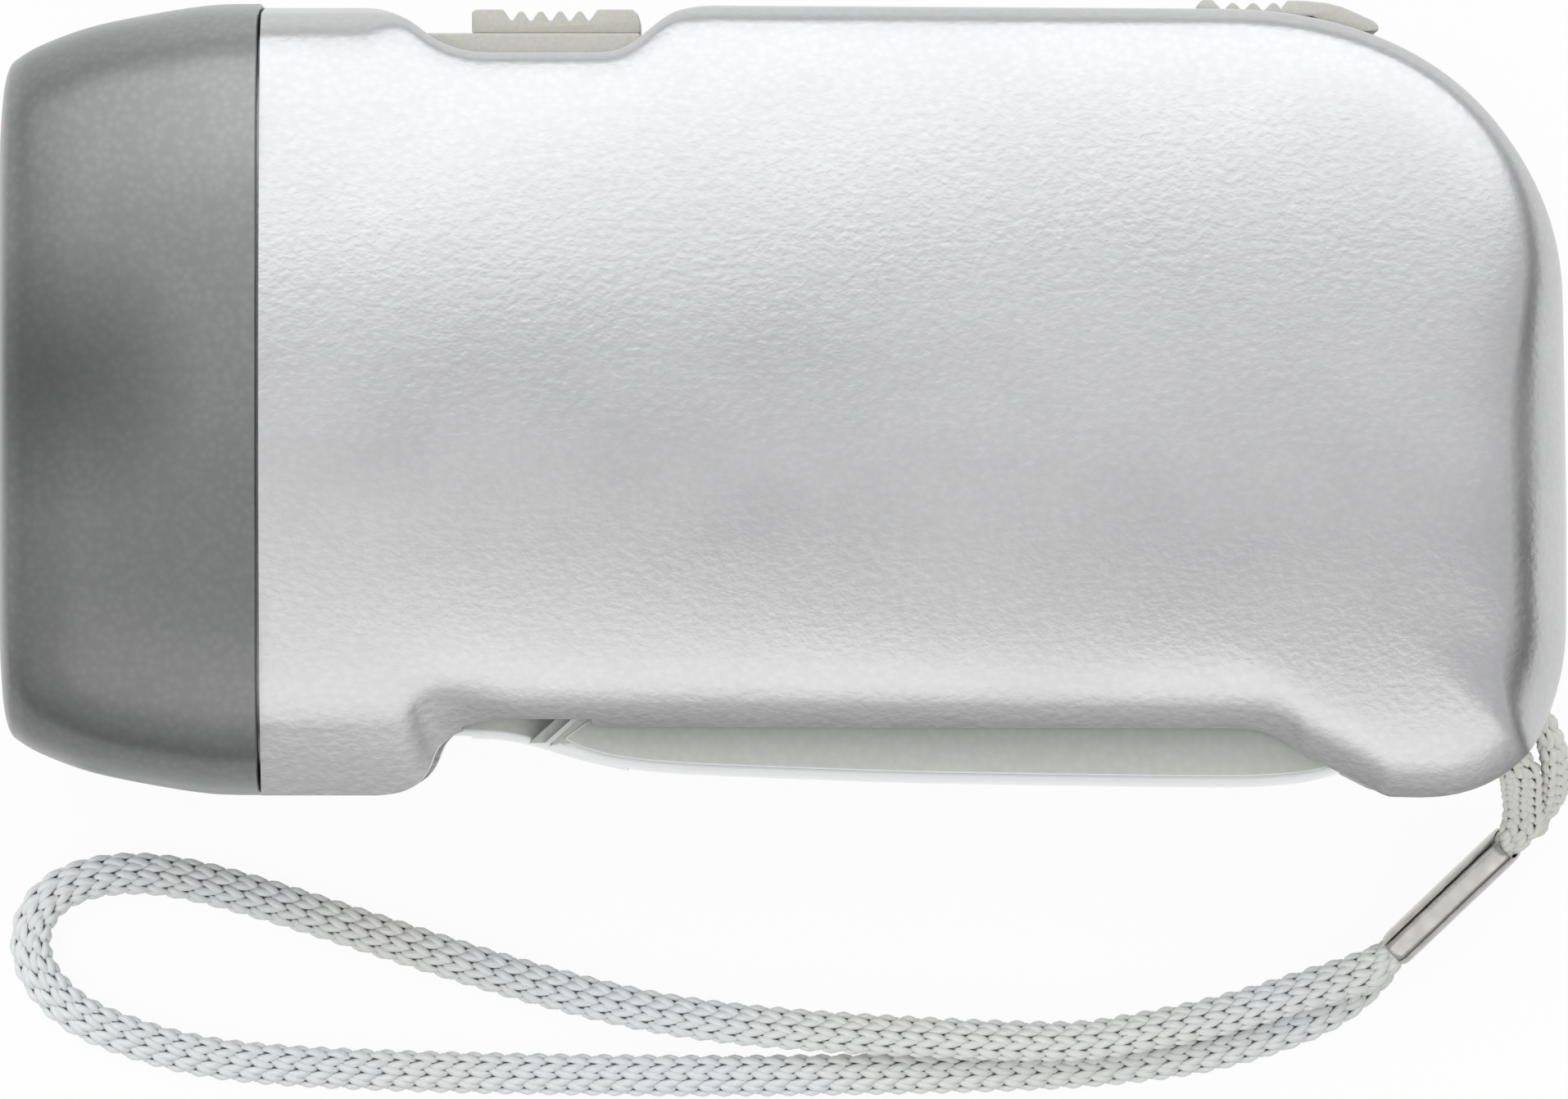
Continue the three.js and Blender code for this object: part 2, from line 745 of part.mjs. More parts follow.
function neckRing() {
  const neckHalfHeight = halfHeight - headWall - fitGap;
  const neckHalfWidth = halfThickness * headStationShares[0][2] - headWall - fitGap;
  const ring = (x0, x1, grow) => cutBy(
    sectionSolid([
      [x0, neckHalfHeight + grow, neckHalfWidth + grow],
      [x1, neckHalfHeight + grow, neckHalfWidth + grow],
    ]),
    sectionSolid([
      [x0 - overrun, neckHalfHeight - neckWall, neckHalfWidth - neckWall],
      [x1 + overrun, neckHalfHeight - neckWall, neckHalfWidth - neckWall],
    ]),
  );
  return joined(ring(seamX - neckLength, seamX + neckRoot, 0), ring(seamX, seamX + neckRoot, bodyWall / 2));
}

// The lock's stem, and its arm, whose hook ends just short of the rack. The hook is a drop below the arm, or
// where the rack is steep enough.
const lockStemX = lockX + lockStemStart;
const lockStemEndX = lockStemX + lockStemLength;
const lockHookY = Math.min(lockArmTop - lockHookDrop, pivotY + lockHookRiseShare * rackRadius);
const hookRise = lockHookY + lockHookHeight - pivotY;
const lockHookEndX = pivotX + Math.sqrt(rackTipRadius ** 2 - hookRise ** 2) - lockHookStandoff;
const lockArmX = lockHookEndX - lockHookLength;

// Sunk place of the switch plate, slot of the lever and slot of the lock slider.
function shellCuts() {
  const cuts = [
    block(
      plateX0 - fitGap, plateX1 + fitGap,
      plateBottomY - fitGap - overrun, halfHeight + overrun,
      -switchPlateWidth / 2 - fitGap, switchPlateWidth / 2 + fitGap,
    ),
    block(
      leverGripStart - runningGap, slotEnd,
      -halfHeight - overrun, leverTopY + bodyWall,
      -leverHalfWidth - runningGap, leverHalfWidth + runningGap,
    ),
    block(
      slotStart, leverGripStart,
      -halfHeight - overrun, leverTopY + bodyWall,
      -leverArmHalfWidth - runningGap, leverArmHalfWidth + runningGap,
    ),
    block(
      lockX - runningGap, rearX,
      lockRecessY, halfHeight + overrun,
      -lockWidth / 2 - runningGap, lockWidth / 2 + runningGap,
    ),
    block(
      lockStemX - runningGap, lockStemEndX + lockTravel + runningGap,
      lockHookY, halfHeight + overrun,
      -lockStemWidth / 2 - runningGap, lockStemWidth / 2 + runningGap,
    ),
    upright(strapPocketRadius, strapPin.x, strapPin.y, -strapPocketHalfWidth, strapPocketHalfWidth),
  ];
  return cuts;
}

function halfShell(side) {
  const parting = partingGap / 2;
  const outer = bodySkin(side, 0, parting, 0);
  const cavity = bodySkin(side, bodyWall, -overrun, overrun);
  const span = (low, high) => (side > 0 ? [low, high] : [-high, -low]);
  const neck = neckRing().subtract(block(
    frontX - overrun, rearX, -halfHeight - overrun, halfHeight + overrun,
    ...span(-halfThickness - overrun, parting),
  ));
  const boss = (place, radius, from, sides = smallSides) => (
    upright(radius, place.x, place.y, ...span(from, bossFoot), sides)
  );
  const bosses = [
    boss(pivot, pivotBossRadius, leverArmHalfWidth + runningGap),
    boss(strapPin, strapBossRadius, strapPocketHalfWidth),
    ...screwPlaces.map((place) => boss(place, screwBossRadius, parting)),
  ];
  if (side > 0) {
    bosses.push(...gearCentres.map((c) => boss(c, bossRadius, plateTop + fitGap)));
  } else {
    bosses.push(
      boss(firstCentre, bossRadius, pinionHalfHeight + runningGap),
      boss(secondCentre, bossRadius, -(flywheelTop + fitGap / 2)),
      boss(rotorCentre, bossRadius, -(magnetBottom - runningGap)),
      ...boardPosts.map((place) => boss(place, bossRadius, -(boardZ - fitGap))),
      ...corePosts.map((place) => boss(place, coreLegWidth / 2, -(coreBottom - fitGap))),
    );
  }
  const bossSolids = joined(...bosses).intersect(bodySkin(side, bodyWall / 2, -halfThickness, 0));
  let shell = joined(outer.subtract(cavity), neck, bossSolids);
  shell = cutBy(shell, ...shellCuts());
  const hole = (place, radius, from, to) => upright(radius, place.x, place.y, ...span(from, to), smallSides);
  shell = cutBy(
    shell,
    hole(pivot, pivotPinRadius + fitGap, -overrun, pivotPinHalfLength + fitGap),
    hole(strapPin, strapPinRadius + fitGap, -overrun, strapPinHalfLength + fitGap),
  );
  if (side < 0) {
    const axleEnd = -axleBottom + fitGap;
    const tools = gearCentres.map((c) => hole(c, boreRadius, -overrun, axleEnd));
    const screwClear = screwShankRadius + fitGap;
    const screwSeatDepth = -(screwHeadZ + screwHeadHeight + fitGap);
    for (const place of screwPlaces) {
      tools.push(hole(place, screwClear, -overrun, halfThickness + overrun));
      tools.push(hole(place, screwHeadRadius + fitGap, screwSeatDepth, halfThickness + overrun));
    }
    shell = cutBy(shell, ...tools);
  } else {
    const threadRadius = screwShankRadius + fitGap;
    shell = cutBy(shell, ...screwPlaces.map((p) => hole(p, threadRadius, -overrun, screwTipZ + fitGap)));
  }
  return shell;
}

function addShells() {
  addMesh('shell_near', halfShell(1), silverPaint());
  addMesh('shell_far', halfShell(-1), silverPaint());
}

// Hood with two round windows, its clear front plate, and the light unit behind it.
const hoodFaceX = seamX - headDepth;
const lampHeights = [lampHeight, -lampHeight];
const lensX0 = hoodFaceX + headWall + fitGap;
const lensX1 = lensX0 + lensThickness;
const reflectorX0 = lensX1 + fitGap;
const reflectorX1 = reflectorX0 + reflectorDepth;
const ledBackX = reflectorX1 + fitGap + ledFlangeDepth;
const lampBoardX0 = ledBackX + fitGap;
const lampBoardX1 = lampBoardX0 + lampBoardThickness;

function addHood() {
  const station = ([depthShare, h, w], inset) => [
    seamX - depthShare * headDepth, h * halfHeight - inset, w * halfThickness - inset,
  ];
  const outer = sectionSolid(headStationShares.map((s) => station(s, 0)));
  const innerFaceX = hoodFaceX + headWall;
  const inside = headStationShares.filter(([depthShare]) => seamX - depthShare * headDepth > innerFaceX);
  const innerStations = inside.map((s) => station(s, headWall));
  const [, lastH, lastW] = innerStations.at(-1);
  innerStations.push([hoodFaceX + headWall, lastH - headWall / 2, lastW - headWall / 2]);
  innerStations.unshift([seamX + overrun, innerStations[0][1], innerStations[0][2]]);
  const windows = lampHeights.map((y) => turnedAlongX([
    [0, hoodFaceX - overrun],
    [windowRadius, hoodFaceX - overrun],
    [windowRadius, hoodFaceX + headWall + overrun],
    [0, hoodFaceX + headWall + overrun],
  ], y));
  addMesh('head_shell', cutBy(outer, sectionSolid(innerStations), ...windows), smokedPlastic());
}

function addLens() {
  const plate = sectionSolid([lensX0, lensX1].map((x) => [x, lensHalfHeight, lensHalfWidth]));
  const rim = windowRadius - fitGap;
  const sphere = (rim * rim + domeRise * domeRise) / (2 * domeRise);
  const tipX = frontX;
  const profile = [[0, lensX1], [rim, lensX1]];
  const rings = skinSteps;
  for (let k = 0; k <= rings; k += 1) {
    const radius = rim * (1 - k / rings);
    const drop = sphere - Math.sqrt(sphere * sphere - radius * radius);
    profile.push([radius, tipX + drop]);
  }
  addMesh('front_lens', joined(plate, ...lampHeights.map((y) => turnedAlongX(profile, y))), clearPlastic());
}

function addReflector() {
  const body = sectionSolid([
    [reflectorX0, reflectorHalfHeight, reflectorHalfWidth],
    [reflectorX1, reflectorHalfHeight, reflectorHalfWidth],
  ]);
  const hole = ledRadius + fitGap;
  const bowls = lampHeights.map((y) => {
    const bowlFloorX = reflectorX1 - headWall / 2;
    const profile = [[0, reflectorX1 + overrun], [hole, reflectorX1 + overrun], [hole, bowlFloorX]];
    for (let k = 1; k <= skinSteps; k += 1) {
      const share = k / skinSteps;
      const depth = (bowlFloorX - reflectorX0) * share;
      profile.push([hole + (bowlRadius - hole) * Math.sqrt(share), bowlFloorX - depth]);
    }
    profile.push([bowlRadius, reflectorX0 - overrun], [0, reflectorX0 - overrun]);
    return turnedAlongX(profile, y);
  });
  addMesh('reflector', cutBy(body, ...bowls), chromedPlastic());
}

function addLamps() {
  lampHeights.forEach((y, k) => {
    const domeStart = ledBackX - ledLength + ledRadius;
    const profile = [
      [0, ledBackX],
      [ledFlangeRadius, ledBackX],
      [ledFlangeRadius, ledBackX - ledFlangeDepth],
      [ledRadius, ledBackX - ledFlangeDepth],
    ];
    const rings = skinSteps;
    for (let r = 0; r <= rings; r += 1) {
      const angle = (Math.PI * r) / (2 * rings);
      profile.push([ledRadius * Math.cos(angle), domeStart - ledRadius * Math.sin(angle)]);
    }
    addMesh(k === 0 ? 'led_upper' : 'led_lower', turnedAlongX(profile, y, smallSides), ledClear());
  });
  addMesh('led_board', block(
    lampBoardX0, lampBoardX1,
    -lampBoardHalfHeight, lampBoardHalfHeight,
    -lampBoardHalfWidth, lampBoardHalfWidth,
  ), boardGreen());
}

// Switch plate, its knob and the slide switch below.
const knobBaseY = switchPlateTop + runningGap;
const knobStemX0 = knobX + knobStemStart;
const knobStemX1 = knobStemX0 + knobStemLength;
const knobSlotX0 = knobStemX0 - knobTravel - runningGap;
const knobSlotX1 = knobStemX1 + runningGap;
const knobSlotHalfWidth = knobStemWidth / 2 + runningGap;

function polygon(points) {
  return new THREE.Shape(points.map(([x, y]) => new THREE.Vector2(x, y)));
}

// Points of a row of ridges on a floor. A ridge's corners are shares of its pitch and of its rise.
const ridgeShares = [[0, 0], [0.25, 1], [0.5, 1], [0.75, 0]];

function ridgeRow(startX, count, pitch, floorY, topY) {
  const points = [];
  for (let k = 0; k < count; k += 1) {
    const x = startX + k * pitch;
    points.push(...ridgeShares.map(([along, rise]) => [x + along * pitch, floorY + rise * (topY - floorY)]));
  }
  return points;
}

function addSwitch() {
  const plate = cutBy(
    block(plateX0, plateX1, plateBottomY, switchPlateTop, -switchPlateWidth / 2, switchPlateWidth / 2),
    block(
      knobSlotX0, knobSlotX1, plateBottomY - overrun, switchPlateTop + overrun,
      -knobSlotHalfWidth, knobSlotHalfWidth,
    ),
  );
  addMesh('switch_plate', plate, switchGrey());

  const endX = knobX + knobLength;
  const topY = knobBaseY + knobHeight;
  const floorY = knobBaseY + knobFloorHeight;
  const ridges = ridgeRow(knobX + knobRidgeStart, knobRidgeCount, knobRidgePitch, floorY, topY);
  const profile = polygon([
    [knobX, knobBaseY],
    [knobX, topY],
    [knobX + knobEndLength, topY],
    [knobX + knobEndLength, floorY],
    ...ridges,
    [endX - knobEndLength - knobChamfer, floorY],
    [endX - knobEndLength - knobChamfer, topY],
    [endX - knobChamfer, topY],
    [endX, floorY],
    [endX, knobBaseY],
  ]);
  const stemEndY = switchBodyTop - switchGrooveDepth + fitGap;
  const stem = block(knobStemX0, knobStemX1, stemEndY, floorY, -knobStemWidth / 2, knobStemWidth / 2);
  addMesh('switch_knob', joined(extruded(profile, -knobWidth / 2, knobWidth / 2), stem), switchGrey());

  const middleX = (knobSlotX0 + knobSlotX1) / 2;
  const seatZ = boardZ + boardThickness + fitGap;
  const body = cutBy(
    block(
      middleX - switchBodyLength / 2, middleX + switchBodyLength / 2,
      switchBodyBottom, switchBodyTop, seatZ, seatZ + switchBodyWidth,
    ),
    block(
      knobSlotX0, knobSlotX1, switchBodyTop - switchGrooveDepth, switchBodyTop + overrun,
      -knobSlotHalfWidth, knobSlotHalfWidth,
    ),
  );
  addMesh('switch_body', body, blackPlastic());
}

// Lock slider with its stem through the body's top and the hook that reaches the rack's end.
function addLock() {
  const baseY = lockRecessY + runningGap;
  const bumpX = lockX + lockBumpLength;
  const tailPoint = ([along, drop]) => [lockX + along * lockLength, lockTopY - drop * lockTailDrop];
  const tail = lockTailShares.map(tailPoint);
  const ridgeX = lockX + lockRidgeStart;
  const ridges = ridgeRow(ridgeX, lockRidgeCount, lockRidgePitch, lockValleyY, lockRidgeTopY);
  const profile = polygon([
    [lockX, baseY],
    [lockX, lockTopY],
    [bumpX, lockTopY],
    [bumpX, lockValleyY],
    ...ridges,
    [tail[0][0], lockValleyY],
    ...tail,
    [tail.at(-1)[0] - lockRidgePitch, baseY],
  ]);
  const halfStem = lockStemWidth / 2;
  const armY = lockArmTop - lockArmHeight;
  addMesh('lock_slider', joined(
    extruded(profile, -lockWidth / 2, lockWidth / 2),
    block(lockStemX, lockStemEndX, armY, lockValleyY, -halfStem, halfStem),
    block(lockArmX, lockStemEndX, armY, lockArmTop, -halfStem, halfStem),
    block(lockArmX, lockArmX + lockHookRootLength, lockHookY, lockArmTop, -halfStem, halfStem),
    block(lockArmX, lockHookEndX, lockHookY, lockHookY + lockHookHeight, -halfStem, halfStem),
  ), switchGrey());
}

// The rack's sector, with tooth spaces on its inner side that mesh at the mesh angle.
function rackShape() {
  const teeth = (2 * rackRadius) / rackModule;
  const pitch = 360 / teeth;
  const rootRadius = rackRadius + toothRootShare * rackModule;
  const outerRadius = rootRadius + rackRim;
  const play = toothPlayShare * rackModule;
  const riseAngle = (rise) => THREE.MathUtils.radToDeg(Math.asin(rise / rackRadius));
  const rackStartAngle = riseAngle(-rackFootDrop);
  const rackEndAngle = riseAngle(lockHookY + rackEndRise - pivotY);
  const rackTeethEndAngle = rackEndAngle - rackBlankAngle;
  const flank = [rackTipRadius, rootRadius];
  const halfAngle = (r) => THREE.MathUtils.radToDeg(flankAngle(rackRadius, teeth, play, r));
  const points = [];
  const first = Math.ceil((rackTeethStartAngle - meshAngle) / pitch);
  const last = Math.floor((rackTeethEndAngle - meshAngle) / pitch);
  points.push(around(pivot, rackTipRadius, rackStartAngle));
  for (let k = first; k <= last; k += 1) {
    const middle = meshAngle + k * pitch;
    points.push(...flank.map((r) => around(pivot, r, middle - halfAngle(r))));
    points.push(...flank.toReversed().map((r) => around(pivot, r, middle + halfAngle(r))));
  }
  points.push(around(pivot, rackTipRadius, rackEndAngle));
  const arcSteps = roundSides;
  for (let k = 0; k <= arcSteps; k += 1) {
    points.push(around(pivot, outerRadius, rackEndAngle + ((rackStartAngle - rackEndAngle) * k) / arcSteps));
  }
  return new THREE.Shape(points);
}

// Grip with a crowned underside and a channel, through stations along its contour.
function gripSolid() {
  const ends = (share) => [leverGripStart + share[0] * leverGripLength, share[1] * halfHeight];
  const ring = (share) => {
    const [x, bottom] = ends(share);
    const side = gripCrownShares.map(([w, rise]) => [bottom + rise * leverEdgeDepth, w * leverHalfWidth]);
    const section = [[leverTopY, leverHalfWidth], ...side];
    const mirrored = section.toReversed().map(([y, z]) => [y, -z]);
    return [...section, ...mirrored].map(([y, z]) => new THREE.Vector3(x, y, z));
  };
  const rings = gripContourShares.map(ring);
  const channelRing = (x, bottom) => {
    const w = leverHalfWidth - leverWall;
    const low = bottom + leverFloor;
    const high = leverTopY + overrun;
    return [[high, w], [low, w], [low, -w], [high, -w]].map(([y, z]) => new THREE.Vector3(x, y, z));
  };
  const inner = gripContourShares.map(ends).filter(([x]) => x < leverGripEnd - leverWall);
  const channel = inner.map(([x, bottom], k) => channelRing(x - (k === 0 ? leverWall : 0), bottom));
  const plan = (points) => points.map((p) => new THREE.Vector2(p.y, p.z));
  return ringSolid(rings, plan(rings[0])).subtract(ringSolid(channel, plan(channel[0])));
}

function armSolid() {
  const length = leverGripStart - pivotX;
  const shape = new THREE.Shape();
  shape.absarc(pivotX, pivotY, pivotBossRadius, -Math.PI / 2, Math.PI / 2, true);
  shape.lineTo(leverGripStart, leverArmEndTopY);
  shape.lineTo(leverGripStart, gripContourShares[0][1] * halfHeight);
  for (const [along, height] of armContourShares) {
    shape.lineTo(pivotX + along * length, height * halfHeight);
  }
  shape.closePath();
  const arm = extruded(shape, -leverArmHalfWidth, leverArmHalfWidth);
  const cheekEnd = pivotX + leverCheekLength;
  return cutBy(
    arm,
    block(
      pivotX - overrun, cheekEnd, pivotY - overrun, pivotY + overrun, -leverArmHollow, leverArmHollow,
    ),
    block(
      cheekEnd - fitGap, leverGripStart + fitGap,
      leverArmFloorY, pivotY + overrun,
      -leverArmHollow, leverArmHollow,
    ),
  );
}

function addLever() {
  const notchEnd = lockHookEndX + lockTravel + fitGap;
  const notch = block(
    notchEnd - overrun, notchEnd,
    lockHookY - fitGap, lockHookY + lockHookHeight + fitGap,
    -rackHalfThickness - overrun, rackHalfThickness + overrun,
  );
  const trimY = lockArmTop - lockArmHeight - fitGap;
  const trim = block(
    pivotX, rearX, trimY, trimY + overrun, -rackHalfThickness - overrun, rackHalfThickness + overrun,
  );
  const armSpace = block(
    leverGripStart - fitGap, leverGripStart + leverWall, leverArmFloorY, leverTopY + overrun,
    -leverArmHollow, leverArmHollow,
  );
  const lever = joined(
    cutBy(gripSolid(), armSpace),
    armSolid(),
    cutBy(extruded(rackShape(), -rackHalfThickness, rackHalfThickness), notch, trim),
  );
  const reach = leverArmHalfWidth + overrun;
  const bore = upright(pivotPinRadius + runningGap, pivot.x, pivot.y, -reach, reach, smallSides);
  addMesh('squeeze_lever', lever.subtract(bore), leverGrey());
  addMesh('lever_pivot_pin', upright(
    pivotPinRadius, pivot.x, pivot.y, -pivotPinHalfLength, pivotPinHalfLength, smallSides,
  ), steel());

  const points = [[pivotX - springRadius, pivotY - springFootLength, -springHalfLength]];
  const count = Math.round(springTurns * springTurnSteps);
  for (let k = 0; k <= count; k += 1) {
    const angle = Math.PI - (2 * Math.PI * springTurns * k) / count;
    const z = -springHalfLength + (2 * springHalfLength * k) / count;
    points.push([pivotX + springRadius * Math.cos(angle), pivotY + springRadius * Math.sin(angle), z]);
  }
  points.push([pivotX + springLegLength, pivotY - springLegDrop, springHalfLength]);
  const steps = count + springTurnSteps;
  addMesh('lever_spring', tubeAlong(points, springWireRadius, steps, springSides), steel());
}

// A gear's solid turned so that a tooth points in a direction, given in degrees, and set on its centre.
function placedGear(solid, centre, degrees) {
  const geometry = geometryOf(solid);
  geometry.rotateZ(THREE.MathUtils.degToRad(degrees));
  geometry.translate(centre.x, centre.y, 0);
  return solidOf(geometry);
}

function crownShape() {
  const shape = new THREE.Shape();
  for (let k = 0; k < crownTeeth; k += 1) {
    const tip = around({ x: 0, y: 0 }, crownRadius, (360 * k) / crownTeeth);
    const foot = around({ x: 0, y: 0 }, crownRadius - crownToothDepth, (360 * k) / crownTeeth);
    if (k === 0) {
      shape.moveTo(foot.x, foot.y);
    } else {
      shape.lineTo(foot.x, foot.y);
    }
    shape.lineTo(tip.x, tip.y);
  }
  shape.closePath();
  shape.holes.push(new THREE.Path().absarc(0, 0, boreRadius, 0, 2 * Math.PI, true));
  return shape;
}

function addGears() {
  const pinion = gearSolid(
    pinionTeeth, rackModule, pinionTipShare, boreRadius, -pinionHalfHeight, pinionHalfHeight,
  );
  const crown = extruded(crownShape(), pinionHalfHeight - fitGap, crownTop);
  addMesh('drive_pinion', placedGear(joined(pinion, crown), firstCentre, meshAngle), whiteNylon());

  const pawlInner = crownRadius + fitGap;
  const pawlOuter = wheelRecessRadius - fitGap;
  const spread = THREE.MathUtils.degToRad(pawlSpread);
  const pawlShape = new THREE.Shape();
  pawlShape.absarc(0, 0, pawlOuter, 0, spread, false);
  pawlShape.absarc(0, 0, pawlInner, spread, 0, true);
  pawlShape.closePath();
  const pawl = extruded(pawlShape, pinionHalfHeight + fitGap, crownTop, skinSteps);
  addMesh('ratchet_pawl', placedGear(pawl, firstCentre, secondAngle), steel());

  const rim = gearSolid(wheelTeeth, wheelModule, wheelTipShare, wheelRecessRadius, wheelBottom, wheelTop);
  const web = turned([
    [boreRadius, wheelTop - fitGap / 2],
    [wheelWebRadius, wheelTop - fitGap / 2],
    [wheelWebRadius, wheelWebTop],
    [boreRadius, wheelWebTop],
    [boreRadius, wheelTop - fitGap / 2],
  ], 0, 0);
  addMesh('drive_wheel', placedGear(joined(rim, web), firstCentre, secondAngle), whiteNylon());

  const smallPinion = (z0, z1) => gearSolid(pinionTeeth, wheelModule, pinionTipShare, boreRadius, z0, z1);
  const pinionTurn = secondAngle + 180 + halfToothAngle;
  const secondPinion = placedGear(
    smallPinion(secondPinionBottom, secondWheelBottom + fitGap), secondCentre, pinionTurn,
  );
  const secondWheel = placedGear(
    gearSolid(wheelTeeth, wheelModule, wheelTipShare, boreRadius, secondWheelBottom, secondWheelTop),
    secondCentre, rotorAngle,
  );
  addMesh('second_gear', joined(secondPinion, secondWheel), whiteNylon());

  const wheelDisc = turned([
    [boreRadius, flywheelBottom],
    [flywheelRadius, flywheelBottom],
    [flywheelRadius, flywheelTop],
    [rotorSleeveRadius, flywheelTop],
    [rotorSleeveRadius, rotorPinionBottom + fitGap],
    [boreRadius, rotorPinionBottom + fitGap],
    [boreRadius, flywheelBottom],
  ], rotorCentre.x, rotorCentre.y);
  const rotorPinion = placedGear(
    smallPinion(rotorPinionBottom, rotorPinionTop), rotorCentre, rotorAngle + 180 + halfToothAngle,
  );
  addMesh('flywheel', joined(wheelDisc, rotorPinion), brass());
  const axle = (centre) => upright(axleRadius, centre.x, centre.y, axleBottom, plateTop, smallSides);
  addMesh('first_axle', axle(firstCentre), steel());
  addMesh('second_axle', axle(secondCentre), steel());
  addMesh('rotor_shaft', axle(rotorCentre), steel());
  addMesh('ring_magnet', turned([
    [boreRadius, magnetBottom],
    [magnetRadius, magnetBottom],
    [magnetRadius, magnetTop],
    [boreRadius, magnetTop],
    [boreRadius, magnetBottom],
  ], rotorCentre.x, rotorCentre.y), magnetGrey());

  const link = (a, b) => {
    const turn = Math.atan2(b.y - a.y, b.x - a.x);
    const shape = new THREE.Shape();
    shape.absarc(a.x, a.y, plateRadius, turn + Math.PI / 2, turn - Math.PI / 2, false);
    shape.absarc(b.x, b.y, plateRadius, turn - Math.PI / 2, turn + Math.PI / 2, false);
    shape.closePath();
    return extruded(shape, plateBottom, plateTop);
  };
  const hole = (c) => upright(boreRadius, c.x, c.y, plateBottom - overrun, plateTop + overrun, smallSides);
  addMesh('gear_plate', cutBy(
    joined(link(firstCentre, secondCentre), link(secondCentre, rotorCentre)),
    hole(firstCentre), hole(secondCentre), hole(rotorCentre),
  ), steel());
}

// Laminated core with its poles round the magnet, the bobbin on its yoke and the winding.
function addStator() {
  const { x, y } = rotorCentre;
  const windowHalf = coreHalfWidth - coreLegWidth;
  const legFootY = y - coreLegDrop;
  const cutBottom = coreBottom - overrun;
  const cutTop = coreTop + overrun;
  const core = cutBy(
    block(x - coreHalfWidth, x + coreHalfWidth, legFootY, yokeTopY, coreBottom, coreTop),
    block(x - windowHalf, x + windowHalf, legFootY - overrun, yokeBottomY, cutBottom, cutTop),
    upright(magnetRadius + poleGap, x, y, cutBottom, cutTop),
  );
  addMesh('stator_core', core, steel());

  const layer = (halfLength, grow) => block(
    x - halfLength, x + halfLength, yokeBottomY - grow, yokeTopY + grow, coreBottom - grow, coreTop + grow,
  );
  const halfBobbin = bobbinLength / 2;
  const gap = cutBy(layer(halfBobbin - bobbinFlange, flangeGrow + overrun), layer(halfBobbin, tubeGrow));
  const bobbin = cutBy(layer(halfBobbin, flangeGrow), gap, layer(halfBobbin + overrun, fitGap));
  addMesh('coil_bobbin', bobbin, whiteNylon());
  const halfCoil = halfBobbin - bobbinFlange - fitGap;
  const coil = cutBy(layer(halfCoil, flangeGrow - fitGap), layer(halfCoil + overrun, tubeGrow + fitGap));
  addMesh('stator_coil', coil, copper());
}

// Rectifier board with its diodes, the cells and the leads.
function addElectronics() {
  const boardTopZ = boardZ + boardThickness;
  const diodes = Array.from({ length: diodeCount }, (_, k) => {
    const y = batteryStartY + diodeWidth + k * diodePitchShare * batteryLength;
    return block(
      boardEndX - diodeLength - fitGap, boardEndX - fitGap, y, y + diodeWidth,
      boardTopZ - boardThickness / 2, boardTopZ + diodeWidth,
    );
  });
  addMesh('circuit_board', joined(
    block(boardStartX, boardEndX, boardBottomY, boardTopY, boardZ, boardTopZ), ...diodes,
  ), boardGreen());

  const profile = [[0, 0]];
  for (let k = 0; k < cellCount; k += 1) {
    const start = k * cellHeight;
    profile.push(
      [batteryRadius - cellGroove, start],
      [batteryRadius, start + cellGroove],
      [batteryRadius, start + cellHeight - cellGroove],
    );
  }
  profile.push([batteryRadius - cellGroove, batteryLength], [0, batteryLength]);
  const outline = profile.map(([radius, h]) => new THREE.Vector2(radius, h));
  const cells = new THREE.LatheGeometry(outline, roundSides);
  cells.translate(batteryX, batteryStartY, boardTopZ + fitGap + batteryRadius);
  addMesh('battery_pack', solidOf(cells), cellWrap());

  const wireZ = boardTopZ + fitGap + wireRadius;
  const lampY = batteryStartY + batteryLength + wireSpacing;
  [0, 1].forEach((k) => {
    const y = lampY + k * wireSpacing;
    const endX = lampBoardX1 + fitGap;
    const startX = boardStartX + wireSpacing;
    addMesh(`lamp_wire_${k + 1}`, tubeAlong([
      [startX, y, wireZ],
      [boardStartX, y, wireZ],
      [(boardStartX + endX) / 2, y - wireSpacing, wireZ / 2],
      [endX + wireSpacing, y - wireSpacing, 0],
      [endX, y - wireSpacing, 0],
    ], wireRadius, wireSteps), redWire());
  });
  const coilEndX = rotorCentre.x - bobbinLength / 2 - fitGap;
  const legTopZ = coreTop + fitGap + wireRadius;
  [0, 1].forEach((k) => {
    const y = switchBodyBottom - wireSpacing - (1 - k) * wireSpacing;
    addMesh(`coil_wire_${k + 1}`, tubeAlong([
      [boardEndX - wireSpacing, y, wireZ],
      [boardEndX, y, wireZ],
      [rotorCentre.x - coreHalfWidth, yokeBottomY + k * wireSpacing, legTopZ + wireRadius],
      [coilEndX, yokeBottomY + k * wireSpacing, legTopZ + wireRadius],
    ], wireRadius, wireSteps), redWire());
  });
}

// Screws from the far side, heads sunk below the skin.
function addScrews() {
  screwPlaces.forEach((place, k) => {
    const headTop = screwHeadZ + screwHeadHeight;
    const screw = turned([
      [0, screwHeadZ],
      [screwHeadRadius, screwHeadZ],
      [screwHeadRadius, headTop],
      [screwShankRadius, headTop],
      [screwShankRadius, screwTipZ - screwShankRadius],
      [0, screwTipZ],
    ], place.x, place.y, smallSides);
    const half = driverSlot / 2;
    const reach = screwHeadRadius * driverReachShare;
    const cut = (rx, ry) => block(
      place.x - rx, place.x + rx, place.y - ry, place.y + ry, screwHeadZ - overrun, screwHeadZ + driverDepth,
    );
    addMesh(`case_screw_${k + 1}`, cutBy(screw, cut(reach, half), cut(half, reach)), steel());
  });
}

